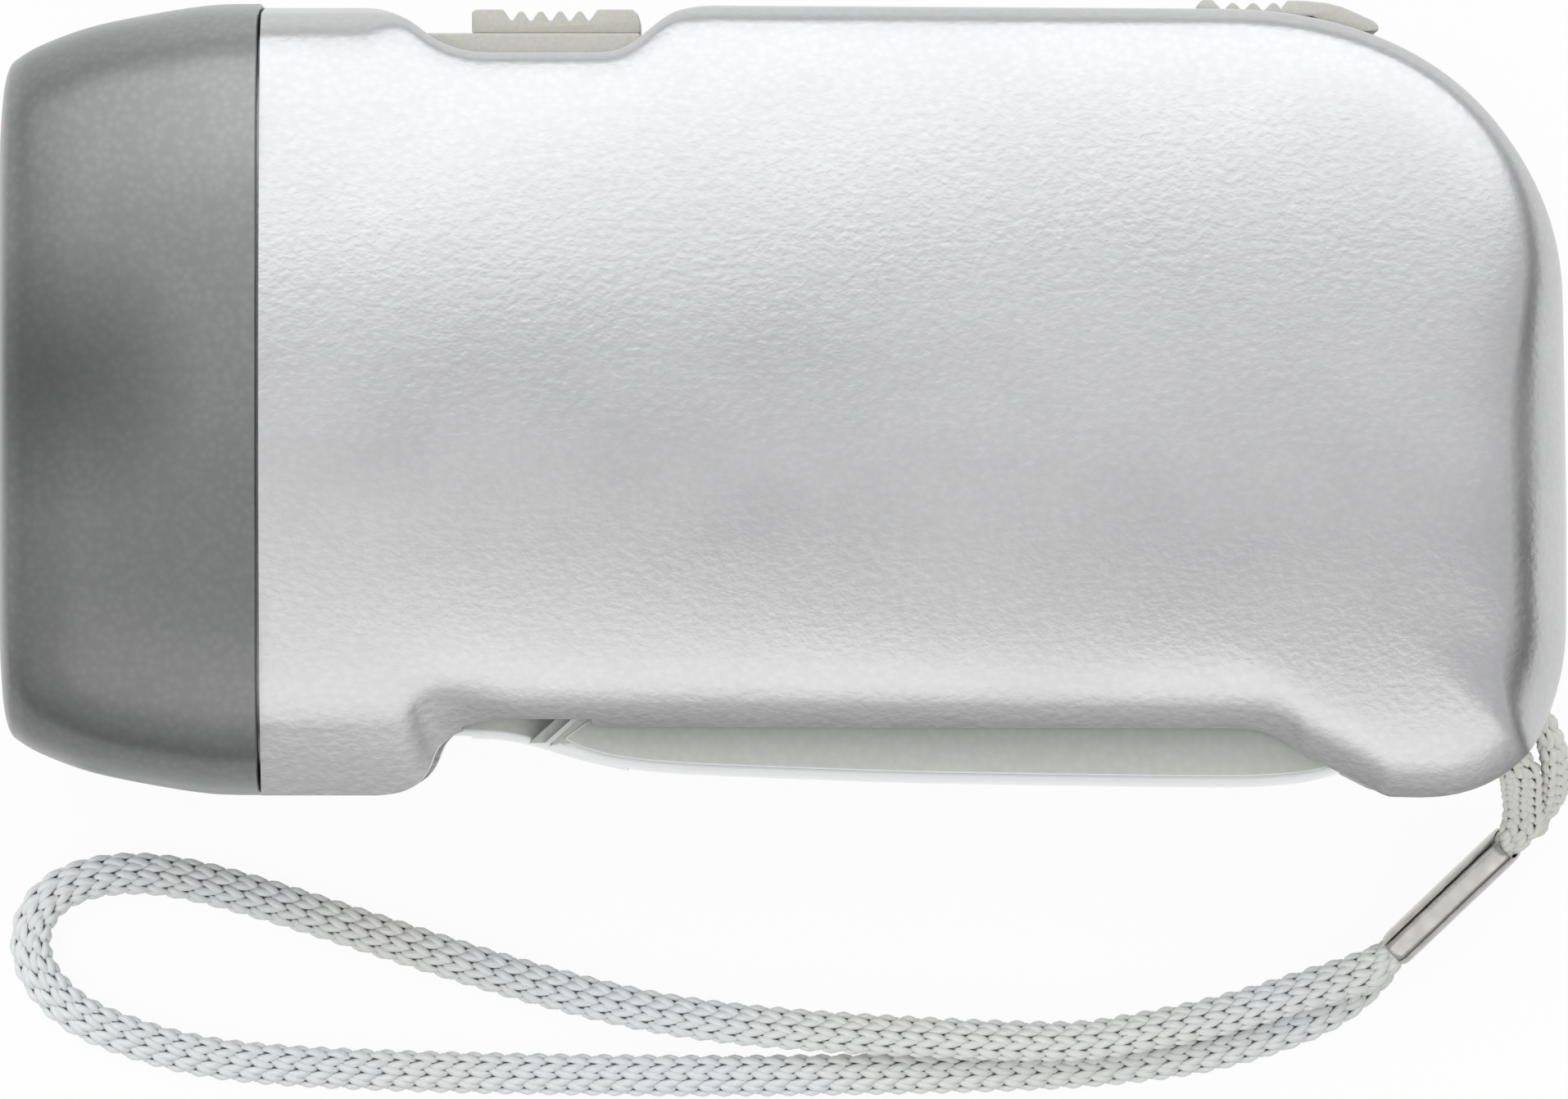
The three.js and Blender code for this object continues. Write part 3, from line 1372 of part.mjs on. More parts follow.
// Strap pin in the body, the cord's runs over the ground, and the ferrule between them.
function addStrap() {
  addMesh('strap_pin', upright(
    strapPinRadius, strapPin.x, strapPin.y, -strapPinHalfLength, strapPinHalfLength, smallSides,
  ), steel());
  addMesh('strap_small_loop', tubeAlong(smallLoopRoute, cordRadius, cordSmallSteps), cordGrey(), part);
  addMesh('strap_wrist_loop', tubeAlong(wristLoopRoute, cordRadius, cordLoopSteps), cordGrey(), part);

  const along = ferruleFoot.clone().sub(ferruleTop);
  const tube = new THREE.CylinderGeometry(1, 1, 1, smallSides);
  tube.rotateZ(Math.PI / 2);
  tube.scale(along.length(), ferruleWidth / 2, ferruleDepth / 2);
  const ferrule = addMesh('strap_ferrule', solidOf(tube), steel(), part);
  const axis = along.normalize();
  const across = new THREE.Vector3(0, 0, 1).cross(axis).normalize();
  const rise = axis.clone().cross(across);
  ferrule.quaternion.setFromRotationMatrix(new THREE.Matrix4().makeBasis(axis, across, rise));
  ferrule.position.copy(ferruleTop.clone().add(ferruleFoot).divideScalar(2));
}

addShells();
addHood();
addLens();
addReflector();
addLamps();
addSwitch();
addLock();
addLever();
addGears();
addStator();
addElectronics();
addScrews();
addStrap();

export default part;
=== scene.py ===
import json
import math

import bpy
import numpy as np
from bpy.props import FloatProperty, FloatVectorProperty, IntProperty, PointerProperty
from bpy.types import Operator, Panel, PropertyGroup
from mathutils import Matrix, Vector


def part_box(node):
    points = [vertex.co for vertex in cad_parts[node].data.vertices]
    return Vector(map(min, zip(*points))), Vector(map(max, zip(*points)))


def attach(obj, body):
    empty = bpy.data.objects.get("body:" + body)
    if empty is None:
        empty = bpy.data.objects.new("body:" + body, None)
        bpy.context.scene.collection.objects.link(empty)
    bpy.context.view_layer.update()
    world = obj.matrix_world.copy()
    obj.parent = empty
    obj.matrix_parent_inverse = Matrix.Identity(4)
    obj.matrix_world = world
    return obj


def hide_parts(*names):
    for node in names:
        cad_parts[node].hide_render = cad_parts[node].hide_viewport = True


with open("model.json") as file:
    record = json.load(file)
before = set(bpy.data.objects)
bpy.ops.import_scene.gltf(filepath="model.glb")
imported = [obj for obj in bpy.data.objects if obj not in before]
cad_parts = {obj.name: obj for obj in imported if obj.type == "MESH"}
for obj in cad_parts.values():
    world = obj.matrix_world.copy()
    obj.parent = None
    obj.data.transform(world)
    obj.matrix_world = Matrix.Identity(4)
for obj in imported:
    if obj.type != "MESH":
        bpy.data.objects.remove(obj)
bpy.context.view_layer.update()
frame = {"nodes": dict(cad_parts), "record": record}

bl_info = {
    "name": "Squeeze torch",
    "version": (1, 0, 0),
    "blender": (4, 5, 0),
    "location": "View3D > Sidebar > Torch",
    "description": "Builds the visible pieces of a hand-squeezed dynamo torch round its packed model",
    "category": "Add Mesh",
}

MM = 0.001

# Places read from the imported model, in metres.
SHELL_LOW, SHELL_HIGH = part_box("shell_far")
HOOD_LOW, HOOD_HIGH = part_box("head_shell")
LENS_LOW, LENS_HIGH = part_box("front_lens")
AXIS_Y = (SHELL_LOW.y + SHELL_HIGH.y) / 2
MID_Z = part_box("shell_near")[1].z / 2
SEAM_X = HOOD_HIGH.x
REAR_X = SHELL_HIGH.x
PIN_LOW, PIN_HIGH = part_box("lever_pivot_pin")
PIVOT = ((PIN_LOW.x + PIN_HIGH.x) / 2, (PIN_LOW.y + PIN_HIGH.y) / 2)
LAMP_NAMES = ("led_upper", "led_lower")


class TorchSizes(PropertyGroup):
    body_length: FloatProperty(
        name="Body length", description="From the seam of the hood to the rear",
        default=REAR_X - SEAM_X, unit="LENGTH")
    half_height: FloatProperty(
        name="Half height", description="From the middle of the body to its top edge",
        default=(SHELL_HIGH.y - SHELL_LOW.y) / 2, unit="LENGTH")
    half_thickness: FloatProperty(
        name="Half thickness", description="From the parting plane to the flat of a shell",
        default=MID_Z, unit="LENGTH")
    wall: FloatProperty(
        name="Wall", description="Wall of the shells and the hood", default=1.7 * MM, unit="LENGTH")
    parting: FloatProperty(
        name="Parting", description="Half the gap between the two shells", default=0.12 * MM, unit="LENGTH")
    edge: FloatProperty(
        name="Edge", description="Radius on the edges of moulded pieces", default=0.22 * MM, unit="LENGTH")
    cord_width: FloatProperty(
        name="Cord width", description="Width of the flat wrist cord", default=3.1 * MM, unit="LENGTH")
    cord_depth: FloatProperty(
        name="Cord depth", description="Thickness of the flat wrist cord", default=1.9 * MM, unit="LENGTH")
    cord_columns: IntProperty(
        name="Cord columns", description="Rows of stitches round the cord, two to each V",
        default=12, min=8, max=20)


class TorchColours(PropertyGroup):
    silver: FloatVectorProperty(
        name="Silver", description="Painted shells", subtype="COLOR", size=3, default=(0.585, 0.588, 0.595))
    smoked: FloatVectorProperty(
        name="Smoked", description="Hood", subtype="COLOR", size=3, default=(0.245, 0.25, 0.25))
    lever: FloatVectorProperty(
        name="Lever", description="Squeeze lever", subtype="COLOR", size=3, default=(0.535, 0.555, 0.525))
    switch: FloatVectorProperty(
        name="Switch", description="Switch and lock", subtype="COLOR", size=3, default=(0.56, 0.56, 0.51))
    yarn: FloatVectorProperty(
        name="Yarn", description="Braided cord", subtype="COLOR", size=3, default=(0.84, 0.875, 0.89))


def sizes():
    return bpy.context.scene.torch_sizes


def colours():
    return bpy.context.scene.torch_colours


def centre_of(name):
    """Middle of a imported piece's box."""
    low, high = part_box(name)
    return (low + high) / 2


# Curves and outlines, worked out as whole arrays.

def eased(t):
    """3 t^2 - 2 t^3, held between 0 and 1."""
    t = np.clip(t, 0, 1)
    return t * t * (3 - 2 * t)


def round_angles(sides):
    """Angles at equal steps round a circle."""
    return np.arange(sides) / sides * 2 * math.pi


def superellipse(angle, power):
    """The pair (c, s) on |c|^p + |s|^p = 1: an angle's cosine and sine, each to 2/p with its sign kept."""
    return [np.sign(v) * np.abs(v) ** (2 / power) for v in (np.cos(angle), np.sin(angle))]


def curved_outline(steps, per_curve):
    """A two-number step is a straight line to a point. A six-number step is a cubic whose points are
    (1-t)^3 a + 3 (1-t)^2 t b + 3 (1-t) t^2 c + t^3 d for t from 0 to 1."""
    runs = [np.array([steps[0]], float)]
    here = runs[0][-1]
    t = np.linspace(0, 1, per_curve + 1)[1:, None]
    for step in steps[1:]:
        if len(step) == 2:
            end = np.array(step, float)
            count = max(2, int(np.linalg.norm(end - here) * per_curve * 3))
            s = np.linspace(0, 1, count + 1)[1:, None]
            run = here + (end - here) * s
        else:
            b, c, d = np.array(step, float).reshape(3, 2)
            run = (1 - t) ** 3 * here + 3 * (1 - t) ** 2 * t * b + 3 * (1 - t) * t ** 2 * c + t ** 3 * d
        runs.append(run)
        here = run[-1]
    return np.concatenate(runs)


def smooth_through(points, per_span):
    """A smooth curve through points: between points b and c, with a before and d after them, it is half of
    2b + (c-a) t + (2a-5b+4c-d) t^2 + (3b-a-3c+d) t^3 for t from 0 to 1."""
    p = np.asarray(points, float)
    longer = np.concatenate([2 * p[:1] - p[1:2], p, 2 * p[-1:] - p[-2:-1]])
    a, b, c, d = (v[:, None, :] for v in (longer[:-3], longer[1:-2], longer[2:-1], longer[3:]))
    t = (np.arange(per_span) / per_span)[None, :, None]
    run = 0.5 * (2 * b + (c - a) * t + (2 * a - 5 * b + 4 * c - d) * t ** 2
                 + (3 * b - a - 3 * c + d) * t ** 3)
    return np.concatenate([run.reshape(-1, p.shape[1]), p[-1:]])


def evenly(points, spacing):
    """Points of a curve at equal distances along it."""
    gaps = np.linalg.norm(np.diff(points[:, :3], axis=0), axis=1)
    along = np.concatenate([[0], np.cumsum(gaps)])
    count = max(2, int(round(along[-1] / spacing)))
    at = np.linspace(0, along[-1], count + 1)
    return np.stack([np.interp(at, along, points[:, k]) for k in range(points.shape[1])], 1)


def averaged(points, spacing, reach, pad):
    """Running average of points at equal distances, weighted by e^(-s^2 / 2 w^2) at s along them. It leaves
    off pad points at each end."""
    weight = np.exp(-0.5 * (np.arange(-pad, pad + 1) * spacing / reach) ** 2)
    return np.stack([np.convolve(column, weight / weight.sum(), "valid") for column in points.T], 1)


def unit(v):
    """Vectors scaled to length 1."""
    return v / np.maximum(np.linalg.norm(v, axis=-1, keepdims=True), 1e-12)


# Meshes from grids of points.

def grid_faces(rows, cols, wrap_rows=False):
    """Quads of a grid whose point (r, c) has number r * cols + c, and whose last column meets its first."""
    r = np.arange(rows if wrap_rows else rows - 1)[:, None]
    c = np.arange(cols)[None, :]
    r1, c1 = (r + 1) % rows, (c + 1) % cols
    quads = np.stack(np.broadcast_arrays(r * cols + c, r * cols + c1, r1 * cols + c1, r1 * cols + c), -1)
    return quads.reshape(-1, 4)


def make_mesh(name, points, faces):
    """A new object from an array of points and a list of faces."""
    mesh = bpy.data.meshes.new(name)
    mesh.from_pydata(np.asarray(points, float).reshape(-1, 3).tolist(), [], faces)
    mesh.validate()
    mesh.update()
    obj = bpy.data.objects.new(name, mesh)
    bpy.context.scene.collection.objects.link(obj)
    return obj


def loft(name, rings, closed_rows=False):
    """A closed skin through rings of equal count, given as an array of rows, points and coordinates.
    Its open ends are filled, and it is turned so that its volume is positive."""
    rings = np.asarray(rings, float)
    rows, cols = rings.shape[:2]
    faces = grid_faces(rows, cols, closed_rows).tolist()
    if not closed_rows:
        faces += [list(range(cols))[::-1], list(range((rows - 1) * cols, rows * cols))]
    return face_out(make_mesh(name, rings, faces))


def face_out(obj):
    """The volume of a closed mesh is the sum over its triangles of a . (b x c) / 6. If it is negative,
    every face is turned round."""
    mesh = obj.data
    mesh.calc_loop_triangles()
    co = np.empty(len(mesh.vertices) * 3)
    mesh.vertices.foreach_get("co", co)
    tri = np.empty(len(mesh.loop_triangles) * 3, np.int32)
    mesh.loop_triangles.foreach_get("vertices", tri)
    a, b, c = co.reshape(-1, 3)[tri.reshape(-1, 3)].transpose(1, 0, 2)
    if np.einsum("ij,ij->i", a, np.cross(b, c)).sum() < 0:
        mesh.flip_normals()
    return obj


def block(name, low, high):
    """A box between two corners."""
    x, y, z = (np.array(v) for v in zip(low, high))
    ring = [(x[0], y[0]), (x[1], y[0]), (x[1], y[1]), (x[0], y[1])]
    return loft(name, [[(px, py, pz) for px, py in ring] for pz in z])


# A radius near zero, which closes the end of a turned profile.
CLOSED = 1e-6


def turned_along_x(name, profile, y, z, sides):
    """A profile of (radius, x) pairs turned round an axis along X through y, z. CLOSED as its first
    and last radius closes it."""
    profile = np.asarray(profile, float)
    angle = round_angles(sides)
    rings = np.empty((len(profile), sides, 3))
    rings[..., 0] = profile[:, 1, None]
    rings[..., 1] = y + profile[:, 0, None] * np.cos(angle)
    rings[..., 2] = z + profile[:, 0, None] * np.sin(angle)
    return loft(name, rings)


def extruded(name, outline, z0, z1):
    """An outline in X and Y carried straight from z0 to z1."""
    return loft(name, [np.insert(np.asarray(outline, float), 2, z, axis=1) for z in (z0, z1)])


def upright(name, radius, x, y, z0, z1, sides=48):
    """A round rod: the circle (r cos a, r sin a) carried straight from z0 to z1."""
    angle = round_angles(sides)
    return extruded(name, np.stack([x + radius * np.cos(angle), y + radius * np.sin(angle)], -1), z0, z1)


# Cuts, joins and rounded edges, applied at once so that a piece ends as one mesh.

def applied(obj):
    """Makes what the object's modifiers show its mesh."""
    bpy.context.view_layer.update()
    depsgraph = bpy.context.evaluated_depsgraph_get()
    mesh = bpy.data.meshes.new_from_object(obj.evaluated_get(depsgraph))
    old = obj.data
    obj.modifiers.clear()
    obj.data = mesh
    bpy.data.meshes.remove(old)
    return obj


def combined(obj, tools, operation):
    """Each tool in turn is cut from the object or joined to it, and removed."""
    for tool in tools:
        step = obj.modifiers.new(operation.title(), "BOOLEAN")
        step.operation = operation
        step.solver = "EXACT"
        step.object = tool
        applied(obj)
        bpy.data.objects.remove(tool)
    return obj


def cut_by(obj, *tools):
    return combined(obj, tools, "DIFFERENCE")


def joined(obj, *tools):
    return combined(obj, tools, "UNION")


def rounded(obj, width, segments=2, angle=32):
    """Edges sharper than an angle in degrees are rounded over a width."""
    bevel = obj.modifiers.new("Edge", "BEVEL")
    bevel.width = width
    bevel.segments = segments
    bevel.limit_method = "ANGLE"
    bevel.angle_limit = math.radians(angle)
    bevel.use_clamp_overlap = True
    return applied(obj)


def dress(obj, material, body, replaced=(), sharp=28):
    """Smooth shading up to an angle, the material, and the body that it moves with."""
    mesh = obj.data
    mesh.polygons.foreach_set("use_smooth", np.ones(len(mesh.polygons), bool))
    mesh.set_sharp_from_angle(angle=math.radians(sharp))
    mesh.materials.clear()
    mesh.materials.append(material)
    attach(obj, body)
    if replaced:
        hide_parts(*replaced)
    return obj


# Shader groups and materials.

def connect(tree, node, inputs):
    """Links each input that is given as a socket, and sets each other one."""
    for name, value in inputs.items():
        if isinstance(value, bpy.types.NodeSocket):
            tree.links.new(value, node.inputs[name])
        else:
            node.inputs[name].default_value = value
    return node


def add_node(tree, kind, inputs, **settings):
    """A shader node with its settings made and its inputs connected."""
    node = tree.nodes.new("ShaderNode" + kind)
    for name, value in settings.items():
        setattr(node, name, value)
    return connect(tree, node, inputs)


def ranged(tree, value, low, high, from_low=0.0, from_high=1.0):
    """A value carried from one range to another and held within it."""
    return add_node(tree, "MapRange", {"Value": value, "From Min": from_low, "From Max": from_high,
                                       "To Min": low, "To Max": high}).outputs["Result"]


def calculated(tree, operation, first, second):
    """The result of a sum on two values or sockets."""
    return add_node(tree, "Math", {0: first, 1: second}, operation=operation).outputs["Value"]


def colour_mix(tree, factor, low, high, blend="MIX"):
    """Two colours mixed by a factor. Each of the three is a value or a socket."""
    return add_node(tree, "Mix", {0: factor, 6: low, 7: high},
                    data_type="RGBA", blend_type=blend).outputs[2]


def bumped(tree, height, strength, distance):
    """A normal lifted by a height, over a distance in millimetres."""
    return add_node(tree, "Bump", {"Height": height, "Strength": strength,
                                   "Distance": distance * MM}).outputs["Normal"]


def grain_group():
    """Height, speckle and blotch of a fine moulded or sprayed grain: a noise, cells and a wider noise."""
    tree = bpy.data.node_groups.new("Fine grain", "ShaderNodeTree")
    for label, kind in (("Vector", "Vector"), ("Scale", "Float"), ("Blotch scale", "Float")):
        tree.interface.new_socket(label, in_out="INPUT", socket_type="NodeSocket" + kind)
    for label in ("Height", "Speckle", "Blotch"):
        tree.interface.new_socket(label, in_out="OUTPUT", socket_type="NodeSocketFloat")
    given = tree.nodes.new("NodeGroupInput").outputs
    place, scale = given["Vector"], given["Scale"]
    fine = add_node(tree, "TexNoise", {"Vector": place, "Scale": scale, "Detail": 2.0, "Roughness": 0.55})
    cells = add_node(tree, "TexVoronoi", {"Vector": place, "Scale": scale}, feature="F1")
    wide = add_node(tree, "TexNoise", {"Vector": place, "Scale": given["Blotch scale"], "Detail": 3.0,
                                       "Roughness": 0.5})
    connect(tree, tree.nodes.new("NodeGroupOutput"), {
        "Height": ranged(tree, fine.outputs["Fac"], 0.0, 1.0, 0.35, 0.65),
        "Speckle": ranged(tree, cells.outputs["Distance"], 0.0, 1.0, 0.1, 0.7),
        "Blotch": wide.outputs["Fac"],
    })


def placed_grain(tree, scale, blotch_scale, stretch=(1, 1, 1)):
    """The outputs of the grain group on object coordinates, stretched along an axis where asked."""
    place = add_node(tree, "TexCoord", {}).outputs["Object"]
    if stretch != (1, 1, 1):
        place = add_node(tree, "Mapping", {"Vector": place, "Scale": stretch}).outputs["Vector"]
    return add_node(tree, "Group", {"Vector": place, "Scale": scale, "Blotch scale": blotch_scale},
                    node_tree=bpy.data.node_groups["Fine grain"]).outputs


def shaded(colour, factor):
    """A colour made lighter or darker, with the full opacity that a socket asks for."""
    return tuple(min(1.0, c * factor) for c in colour) + (1.0,)


def new_material(name):
    """A material with only its shader and its output."""
    material = bpy.data.materials.new(name)
    material.use_nodes = True
    tree = material.node_tree
    tree.nodes.clear()
    shader = add_node(tree, "BsdfPrincipled", {})
    add_node(tree, "OutputMaterial", {"Surface": shader.outputs["BSDF"]})
    return material, tree, shader


def grained_material(name, colour, roughness, metallic=0.0, scale=2500, blotch=70, bump=0.15, depth=0.02,
                     contrast=0.06, stretch=(1, 1, 1), coat=0.0):
    """A moulded, sprayed or drawn surface: colour and gloss vary with the grain, which also lifts it."""
    material, tree, shader = new_material(name)
    grain = placed_grain(tree, scale, blotch, stretch)
    connect(tree, shader, {
        "Base Color": colour_mix(tree, grain["Speckle"], shaded(colour, 1 + contrast),
                                 shaded(colour, 1 - contrast)),
        "Roughness": ranged(tree, grain["Blotch"], roughness * 0.85, roughness * 1.15, 0.3, 0.7),
        "Metallic": metallic,
        "Coat Weight": coat,
        "Normal": bumped(tree, grain["Height"], bump, depth),
    })
    material.diffuse_color = shaded(colour, 1)
    return material


def clear_material(name, colour, roughness, transmission):
    """A see-through plastic whose tint and gloss drift a little."""
    material, tree, shader = new_material(name)
    blotch = placed_grain(tree, 900, 50)["Blotch"]
    connect(tree, shader, {
        "Base Color": colour_mix(tree, blotch, shaded(colour, 1.03), shaded(colour, 0.96)),
        "Roughness": ranged(tree, blotch, roughness * 0.8, roughness * 1.2),
        "Transmission Weight": transmission,
        "IOR": 1.49,
    })
    return material


def smoked_material():
    """Smoked plastic whose show-through is painted light and shade: lighter towards the top, painted shade
    towards its face and in a dark spot just behind the face, and a painted highlight along the lip at the
    face.
    """
    material, tree, shader = new_material("Smoked hood plastic")
    grain = placed_grain(tree, 1800, 45)
    here = add_node(tree, "TexCoord", {}).outputs["Object"]

    def spot(centre, radii, inner, outer):
        """1 up to the share inner of an ellipsoid's radii, and 0 from the share outer."""
        place = add_node(tree, "Mapping", {
            "Vector": here,
            "Scale": [1 / r for r in radii],
            "Location": [-c / r for c, r in zip(centre, radii)],
        }).outputs["Vector"]
        distance = add_node(tree, "VectorMath", {0: place}, operation="LENGTH").outputs["Value"]
        return ranged(tree, distance, 1.0, 0.0, inner, outer)

    base, face = colours().smoked, HOOD_LOW.x
    # Painted shade: a dark spot in the middle, just behind the face.
    gap = spot((face + 4.5 * MM, AXIS_Y + 1.5 * MM, MID_Z), (6.5 * MM, 6.5 * MM, 60 * MM), 0.1, 1.5)
    # Painted shade: darker towards the face.
    front = spot((face, AXIS_Y, MID_Z), (17 * MM, 60 * MM, 60 * MM), 0.05, 1.0)
    axes = add_node(tree, "SeparateXYZ", {"Vector": here}).outputs
    # Painted light: lighter towards the top, darker lower down.
    upper = ranged(tree, axes["Y"], 0.0, 1.0, AXIS_Y - 6 * MM, AXIS_Y + 16 * MM)
    painted_light_and_shade_tone = colour_mix(tree, upper, shaded(base, 0.8), shaded(base, 1.22))
    painted_light_and_shade_tone = colour_mix(tree, front, painted_light_and_shade_tone, shaded(base, 0.6))
    painted_light_and_shade_tone = colour_mix(tree, gap, painted_light_and_shade_tone, shaded(base, 0.3))
    # Painted highlight: lighter along the lip at the face; the speckle's mottle is the plastic's own grain.
    lip = ranged(tree, axes["X"], 1.35, 1.0, face + 0.7 * MM, face + 1.7 * MM)
    lip_highlight_and_mottle = calculated(tree, "MULTIPLY", lip, ranged(tree, grain["Speckle"], 1.06, 0.93))
    connect(tree, shader, {
        "Base Color": add_node(tree, "HueSaturation", {"Value": lip_highlight_and_mottle, "Color": painted_light_and_shade_tone}).outputs["Color"],
        "Roughness": ranged(tree, grain["Blotch"], 0.24, 0.34),
        "Metallic": 0.45,
        "IOR": 1.5,
        "Normal": bumped(tree, grain["Height"], 0.06, 0.01),
    })
    return material


def yarn_material():
    """Twisted fibres: streaks along each strand, from its own map, and a cool to warm drift. The cord's core
    is painted shade between the spindles.
    """
    material, tree, shader = new_material("Braided yarn")
    strand = add_node(tree, "UVMap", {}, uv_map="Strand").outputs["UV"]
    place = add_node(tree, "Mapping", {"Vector": strand, "Scale": (1.4, 9.0, 1.0), "Rotation": (0, 0, 0.5)})
    fibre = add_node(tree, "TexNoise", {"Vector": place.outputs["Vector"], "Scale": 3.0,
                                        "Detail": 2.0}).outputs["Fac"]
    base = colours().yarn
    warm = (base[0] * 1.03, base[1] * 0.99, base[2] * 0.91, 1)
    part = ranged(tree, placed_grain(tree, 400, 25)["Blotch"], 0, 1, 0.42, 0.62)
    drift = colour_mix(tree, part, shaded(base, 1.05), warm)
    streak = colour_mix(tree, fibre, (0.78, 0.78, 0.78, 1), (1.12, 1.12, 1.12, 1))
    streaked = colour_mix(tree, 1.0, drift, streak, "MULTIPLY")
    # Painted shade: the marked core faces take the yarn's colour at 0.3.
    inner = add_node(tree, "Attribute", {}, attribute_name="Inner").outputs["Fac"]
    connect(tree, shader, {
        "Base Color": colour_mix(tree, inner, streaked, shaded(base, 0.3)),
        "Roughness": ranged(tree, fibre, 0.26, 0.5),
        "Sheen Weight": 0.25,
        "Sheen Roughness": 0.4,
        "Normal": bumped(tree, fibre, 0.35, 0.05),
    })
    return material


def silver_material():
    """Silver paint: a metallic coat with a grain that is a little longer one way."""
    return grained_material("Silver paint", colours().silver, 0.33, metallic=0.85, scale=2100, blotch=70,
                            bump=0.26, depth=0.03, contrast=0.03, stretch=(0.75, 1, 1), coat=0.1)


# The stage.

CAMERA_DISTANCE = 1.0
VIEW_WIDTH = 105.9 * MM
SENSOR_MM = 36.0
VIEW_CENTRE = (0.17 * MM, -10.22 * MM)
LAMP_DISTANCE = 0.9
# Name, angle from overhead, turn round the torch, width, depth, brightness and colour.
LAMPS = [
    ("Lamp over the switch", 36, 100, 1.6, 0.9, 1.2, (1, 1, 1)),
    ("Lamp over the lever", 31, -105, 1.2, 0.56, 0.88, (1, 0.985, 0.955)),
]
# The surround's dark sides: the way to each, then the dot products with it and the heights between
# which it fades.
DARK_SIDES = [
    ((0.93, -0.37, 0), (0.5, 0.95), (0.25, 0.6)),
    ((-0.3, -0.95, 0), (0.4, 0.85), (0.08, 0.44)),
]
DARK_SHADE = (0.03, 0.03, 0.03, 1)
FLOOR_HALF = 2.0
FLOOR_GLOW_SHARE = 0.94


class TORCH_OT_stage(Operator):
    """Camera straight above, soft lamps, a pale floor and a plain surround"""
    bl_idname = "torch.stage"
    bl_label = "Camera, lamps and floor"

    def execute(self, context):
        scene = context.scene
        scene.view_settings.view_transform = "Standard"
        data = bpy.data.cameras.new("Camera")
        data.sensor_width = SENSOR_MM
        data.lens = SENSOR_MM * CAMERA_DISTANCE / VIEW_WIDTH
        data.clip_start = 0.01
        camera = bpy.data.objects.new("Camera", data)
        camera.location = (*VIEW_CENTRE, MID_Z + CAMERA_DISTANCE)
        scene.collection.objects.link(camera)
        scene.camera = camera
        self.add_lamps(scene)
        self.add_surround(scene)
        self.add_floor()
        return {"FINISHED"}

    def add_lamps(self, scene):
        """Each lamp is a rectangle at an angle from overhead and a turn round the torch. Its power is
        pi x area x brightness, so that its face is as bright as the table says."""
        for name, lean, turn, width, depth, brightness, colour in LAMPS:
            lamp = bpy.data.lights.new(name, "AREA")
            lamp.shape = "RECTANGLE"
            lamp.size, lamp.size_y = width, depth
            lamp.energy = math.pi * width * depth * brightness
            lamp.color = colour
            obj = bpy.data.objects.new(name, lamp)
            lean, turn = math.radians(lean), math.radians(turn)
            away = Vector((math.sin(lean) * math.cos(turn), math.sin(lean) * math.sin(turn),
                           math.cos(lean)))
            obj.location = Vector((0, 0, MID_Z)) + away * LAMP_DISTANCE
            obj.rotation_euler = (-away).to_track_quat("-Z", "Y").to_euler()
            scene.collection.objects.link(obj)

    def add_surround(self, scene):
        """Grey overhead and level, paler between, and darker low behind the torch and before its lever."""
        world = bpy.data.worlds.new("Plain surround")
        scene.world = world
        world.use_nodes = True
        tree = world.node_tree
        tree.nodes.clear()
        way = add_node(tree, "TexCoord", {}).outputs["Generated"]
        height = add_node(tree, "SeparateXYZ", {"Vector": way}).outputs["Z"]
        ramp = add_node(tree, "ValToRGB", {"Fac": height})
        stops = ramp.color_ramp.elements
        stops[0].position, stops[0].color = 0.0, (0.55, 0.55, 0.55, 1)
        stops[1].position, stops[1].color = 1.0, (0.55, 0.55, 0.56, 1)
        stops.new(0.5).color = (0.7, 0.7, 0.7, 1)
        shade = ramp.outputs["Color"]
        for side, spread, heights in DARK_SIDES:
            low = ranged(tree, height, 1.0, 0.0, *heights)
            dot = add_node(tree, "VectorMath", {0: way, 1: side}, operation="DOT_PRODUCT").outputs["Value"]
            dark = calculated(tree, "MULTIPLY", low, ranged(tree, dot, 0.0, 1.0, *spread))
            shade = colour_mix(tree, dark, shade, DARK_SHADE)
        lit = add_node(tree, "Background", {"Color": shade})
        add_node(tree, "OutputWorld", {"Surface": lit.outputs["Background"]})

    def add_floor(self):
        """A flat square under the torch, white to the camera but for a soft shadow."""
        corners = [(x * FLOOR_HALF, y * FLOOR_HALF, 0) for x, y in ((-1, -1), (1, -1), (1, 1), (-1, 1))]
        floor = make_mesh("floor", corners, [(0, 1, 2, 3)])
        material, tree, shader = new_material("Pale floor")
        blotch = placed_grain(tree, 40, 3)["Blotch"]
        connect(tree, shader, {
            "Base Color": colour_mix(tree, blotch, (0.86, 0.86, 0.86, 1), (0.88, 0.88, 0.88, 1)),
            "Roughness": 0.9,
        })
        glow = add_node(tree, "Emission", {"Color": (1, 1, 1, 1), "Strength": 1.0})
        path = add_node(tree, "LightPath", {}).outputs
        rays = path["Is Camera Ray"]
        for kind in ("Is Glossy Ray", "Is Transmission Ray"):
            rays = calculated(tree, "MAXIMUM", rays, path[kind])
        share = calculated(tree, "MULTIPLY", rays, FLOOR_GLOW_SHARE)
        mix = add_node(tree, "MixShader", {0: share, 1: shader.outputs["BSDF"],
                                           2: glow.outputs["Emission"]})
        connect(tree, tree.nodes["Material Output"], {"Surface": mix.outputs["Shader"]})
        floor.data.materials.append(material)


